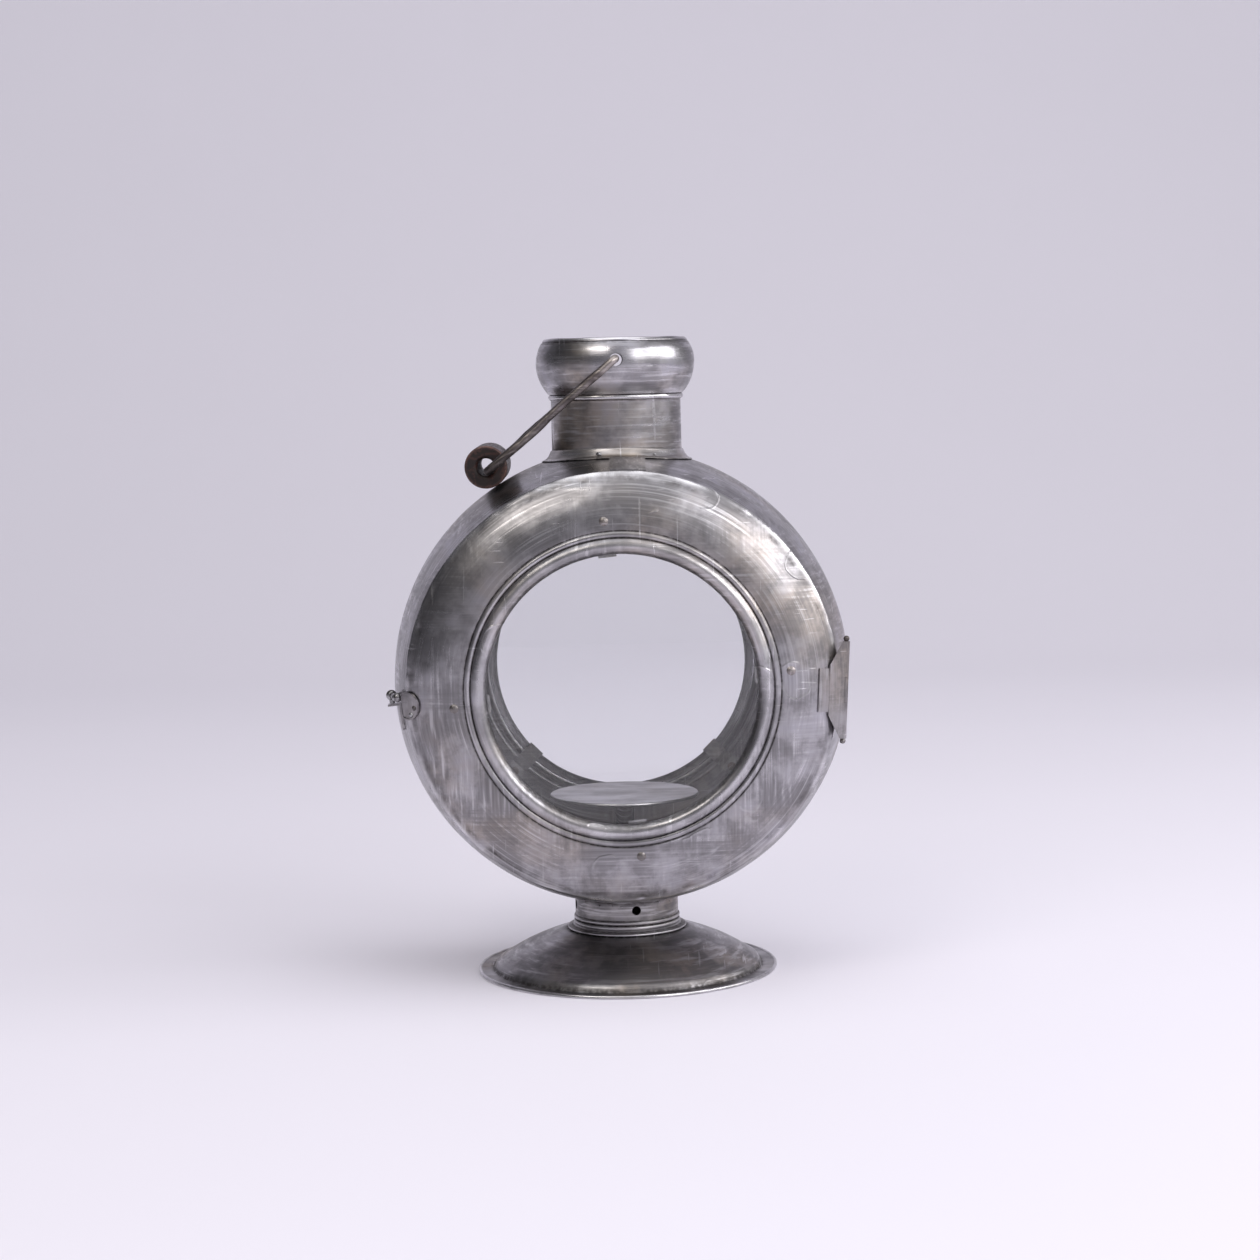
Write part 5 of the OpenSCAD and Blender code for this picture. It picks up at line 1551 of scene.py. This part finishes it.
@dataclass
class Bail(Assembly):
    """The wire bail, bent square, and the wooden grip that turns on its crossbar."""

    body: str = "bail"

    def below_level(self) -> float:
        """How far the bail hangs below the level, in degrees, so that its grip rests on the drum."""
        s = SIZES
        sag = s.grip_bore_r - s.wire_r - 0.2
        reach = math.hypot(s.arm_l, sag)
        up = s.equator_z + s.bail_up - s.drum_z
        rest = s.drum_r + s.grip_r + s.grip_gap
        down = math.degrees(math.acos((up * up + reach * reach - rest * rest) / (2 * up * reach)))
        return 90 - down + math.degrees(math.atan2(sag, s.arm_l))

    def to_world(self, points: Array) -> Array:
        """Turns points from the bail's own plane, X from feet to crossbar, into the lantern's frame."""
        s = SIZES
        turn = math.radians(180 - self.below_level())
        x = points[..., 0] * math.cos(turn) + points[..., 2] * math.sin(turn)
        z = -points[..., 0] * math.sin(turn) + points[..., 2] * math.cos(turn)
        return np.stack([x, points[..., 1], z + s.equator_z + s.bail_up], axis=-1)

    def wire(self) -> None:
        """The wire: a round section carried along the bent path, swelling and flattened a little by blows."""
        s = SIZES
        inside = s.bulge_r - s.sheet - s.foot_in
        arm_y = s.bulge_r + s.arm_gap + s.wire_r
        b = s.bend_r
        half = chain([[0.0, inside]], [[0.0, arm_y - b]],
                     arc((b, arm_y - b), b, 180, 90, 16)[:, :], [[s.arm_l - b, arm_y]],
                     arc((s.arm_l - b, arm_y - b), b, 90, 0, 16), [[s.arm_l, 0.0]])
        half = refine(half, 0.9)
        mirror = half[::-1][1:] * np.array([1, -1])
        flat = np.concatenate([half, mirror])
        path = np.concatenate([flat, np.zeros((len(flat), 1))], axis=1)
        arm = smooth_step(path[:, 0], 7, 24) * smooth_step(path[:, 0], 80, 62)
        path[:, 1] += arm * 0.42 * noise(path, 17, 91) * np.sign(path[:, 1])
        path[:, 2] += arm * 0.5 * noise(path, 19, 92)
        size = s.wire_r * (1 + 0.0 * path[:, 0]) - 0.05 * (1 + noise(path, 7, 93))
        ends = np.minimum(np.arange(len(path)), np.arange(len(path))[::-1])
        size = size * np.sqrt(np.clip(1 - np.square(np.clip(1 - ends / 2.2, 0, 1)), 0, 1))
        size[0] = size[-1] = 0.0
        skin = carried(self.to_world(path), size, 36)
        p = skin.points
        skin.push(-0.09 * smooth_step(noise(p, 4.5, 94), 0.1, 0.6) * (size > 1.5)[None])
        foot = smooth_step(np.abs(p[..., 1]), 38, 41) * smooth_step(np.abs(p[..., 0]), 9, 3)
        skin.marks = {"rub": np.clip(0.75 * foot + 0.25 * smooth_step(noise(p, 8, 95), 0.2, 0.6), 0, 1),
                      "grime": np.clip(smooth_step(noise(p, 6, 96), 0.25, 0.7) * 0.5, 0, 1)}
        self.place("bail_rod", skin.mesh("bail_rod"), WIRE_IRON, "dark_iron", ["bail_wire"])

    def build(self) -> None:
        """Makes the wire."""
        self.wire()


@dataclass
class Grip(Bail):
    """The turned wooden grip."""

    body: str = "grip"

    def wood(self) -> None:
        """The grip: a section with rounded edges and dished ends turned about the crossbar."""
        s = SIZES
        half = s.grip_l / 2
        corners = chain([[s.grip_bore_r, 0.0]],
                        [[s.grip_bore_r, half - s.grip_dish - 0.3], [s.grip_bore_r + 0.25, half - s.grip_dish + 0.3],
                         [s.grip_bore_r + s.grip_dish, half - 0.05]],
                        [[s.grip_r - 1.1, half]],
                        arc((s.grip_r - 1.1, half - 1.1), 1.1, 80, 0, 7),
                        [[s.grip_r, half - 1.2]], [[s.grip_r, 0.0]])
        side = refine(corners, 0.9)
        section = np.concatenate([side, (side[::-1] * np.array([1, -1]))[1:-1]])
        turn = np.linspace(0, 2 * math.pi, 144, endpoint=False)[:, None]
        r, d = section[None, :, 0], section[None, :, 1]
        local = np.stack([s.arm_l + r * np.cos(turn), d + 0 * turn,
                          r * np.sin(turn) - (s.grip_bore_r - s.wire_r - 0.2)], axis=-1)
        skin = Skin(self.to_world(local))
        outer = (r > s.grip_r - 0.6) + 0 * turn
        skin.push(outer * (-0.05 + 0.05 * np.sin(d * 1.7 + 0 * turn) * smooth_step(
            noise(local, 9, 97), -0.4, 0.4)))
        skin.marks = {"rub": np.clip(np.exp(-((r - s.grip_r + 0.5) / 0.5) ** 2)
                                     * smooth_step(np.abs(d), half - 2.2, half - 0.6)
                                     * (0.7 + 0.6 * noise(local, 5, 98)), 0, 1)}
        self.place("grip_wood", skin.mesh("grip_wood"), WOOD, "turned_wood", ["grip_roller"])

    def build(self) -> None:
        """Makes the grip."""
        self.wood()


@dataclass(frozen=True)
class Lamp:
    """A soft lamp: an area light that looks at the lantern."""

    name: str
    azimuth: float
    height: float
    distance: float
    width: float
    tall: float
    power: float
    colour: Colour = (1.0, 1.0, 1.0)

    def build(self) -> None:
        """Makes the lamp: azimuth is to the right of the camera's side, height above the level."""
        a, e = math.radians(self.azimuth), math.radians(self.height)
        away = np.array([math.sin(a) * math.cos(e), -math.cos(a) * math.cos(e), math.sin(e)])
        light = bpy.data.lights.new(self.name, "AREA")
        light.shape, light.size, light.size_y = "RECTANGLE", self.width, self.tall
        light.energy, light.color = self.power, self.colour
        lamp = bpy.data.objects.new(self.name, light)
        bpy.context.scene.collection.objects.link(lamp)
        aim = Matrix(((1, 0, 0), (0, 1, 0), (0, 0, 1))).to_4x4()
        back = away
        side = np.cross(np.array([0, 0, 1.0]), back)
        side = side / np.linalg.norm(side) if np.linalg.norm(side) > 1e-6 else np.array([1.0, 0, 0])
        up = np.cross(back, side)
        where = np.array([0, 0, 0.17]) + away * self.distance
        aim = Matrix([[side[i], up[i], back[i], where[i]] for i in range(3)] + [[0, 0, 0, 1]])
        lamp.matrix_world = aim


@dataclass
class Studio:
    """The pale sweep, the lamps, the soft surroundings and the camera."""

    focal: float = 80.0
    eye: Tuple[float, float, float] = (-5.7, -1454.9, 316.8)
    down: float = 5.455
    roll: float = -1.231
    turn: float = -0.415

    def sweep(self) -> None:
        """Floor and backdrop in one sheet: flat, then a quarter circle, then upright; straight across."""
        start, bend, radius, top = -3.2, 1.35, 1.3, 3.6
        flat = np.linspace(start, bend, 40)
        curve = np.radians(np.linspace(0, 90, 40))
        y = np.concatenate([flat, bend + radius * np.sin(curve[1:]), np.full(12, bend + radius)])
        z = np.concatenate([0 * flat, radius * (1 - np.cos(curve[1:])), np.linspace(radius, top, 13)[1:]])
        x = np.linspace(-3.4, 3.4, 60)
        points = np.stack([x[:, None] + 0 * y, y[None] + 0 * x[:, None], z[None] - 0.0003 + 0 * x[:, None]], axis=-1)
        keys = np.arange(points.shape[0] * points.shape[1]).reshape(points.shape[:2])
        quads = np.stack([keys[:-1, :-1], keys[1:, :-1], keys[1:, 1:], keys[:-1, 1:]], axis=-1).reshape(-1, 4)
        made = bpy.data.meshes.new("paper_sweep")
        made.from_pydata(points.reshape(-1, 3), [], quads.tolist())
        made.polygons.foreach_set("use_smooth", np.ones(len(quads), bool))
        made.materials.append(Backdrop().material())
        sheet = bpy.data.objects.new("paper_sweep", made)
        bpy.context.scene.collection.objects.link(sheet)

    def surroundings(self) -> None:
        """The room's light: dim to the left, brighter to the right; pale where the camera looks past the paper."""
        world = bpy.data.worlds.new("soft room")
        bpy.context.scene.world = world
        world.use_nodes = True
        world.node_tree.nodes.clear()
        w = Wiring(world.node_tree)
        way = w.add("ShaderNodeSeparateXYZ", {0: w.add("ShaderNodeTexCoord").outputs["Generated"]})
        side = w.span(way.outputs[0], -0.75, 0.35)
        room = w.mix(side, (0.11, 0.108, 0.118), (0.43, 0.42, 0.45))
        path = w.add("ShaderNodeLightPath").outputs
        colour = w.mix(path["Is Camera Ray"], room, (0.63, 0.605, 0.67))
        shade = w.add("ShaderNodeBackground", {"Color": colour, "Strength": 1.0})
        w.add("ShaderNodeOutputWorld", {"Surface": shade.outputs[0]})

    def lamps(self) -> None:
        """Hangs the lamps."""
        for lamp in (Lamp("key_softbox", 46, 28, 1.9, 1.35, 1.0, 16.0, (1.0, 0.99, 1.0)),
                     Lamp("side_softbox", 88, 24, 2.1, 0.9, 0.9, 12.0, (1.0, 0.99, 1.0)),
                     Lamp("left_softbox", -30, 44, 1.9, 0.8, 0.7, 6.5, (1.0, 0.95, 0.88)),
                     Lamp("top_softbox", 0, 84, 2.6, 2.4, 2.4, 26.0, (0.98, 0.985, 1.0))):
            lamp.build()

    def camera(self) -> None:
        """The photograph's camera: placed, pitched down, turned and rolled as the fit gave."""
        p, r, t = (math.radians(v) for v in (self.down, self.roll, self.turn))
        ahead = np.array([-math.sin(t) * math.cos(p), math.cos(t) * math.cos(p), -math.sin(p)])
        right = np.array([math.cos(t), math.sin(t), 0.0])
        up = np.cross(right, ahead)
        side = right * math.cos(r) + up * math.sin(r)
        top = -right * math.sin(r) + up * math.cos(r)
        lens = bpy.data.cameras.new("camera")
        lens.lens, lens.sensor_width, lens.clip_start, lens.clip_end = self.focal, 36.0, 0.05, 30.0
        made = bpy.data.objects.new("camera", lens)
        bpy.context.scene.collection.objects.link(made)
        made.matrix_world = Matrix([[side[i], top[i], -ahead[i], self.eye[i] * MM] for i in range(3)]
                                   + [[0, 0, 0, 1]])
        bpy.context.scene.camera = made

    def build(self) -> None:
        """Sets up the stage."""
        self.camera()
        self.sweep()
        self.surroundings()
        self.lamps()
        bpy.context.scene.view_settings.view_transform = "Standard"


def main() -> None:
    """Builds every sub-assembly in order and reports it."""
    logging.basicConfig(level=logging.INFO, format="%(name)s %(message)s")
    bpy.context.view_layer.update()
    Studio().build()
    parts = (Foot(), Drum(), Fittings(), Chimney(), Door(), Latch(), Bail(), Grip())
    for part in parts:
        part.build()
        LOG.info("%s: %d new pieces", type(part).__name__, len(part.pieces))


if __name__ == "__main__":
    main()
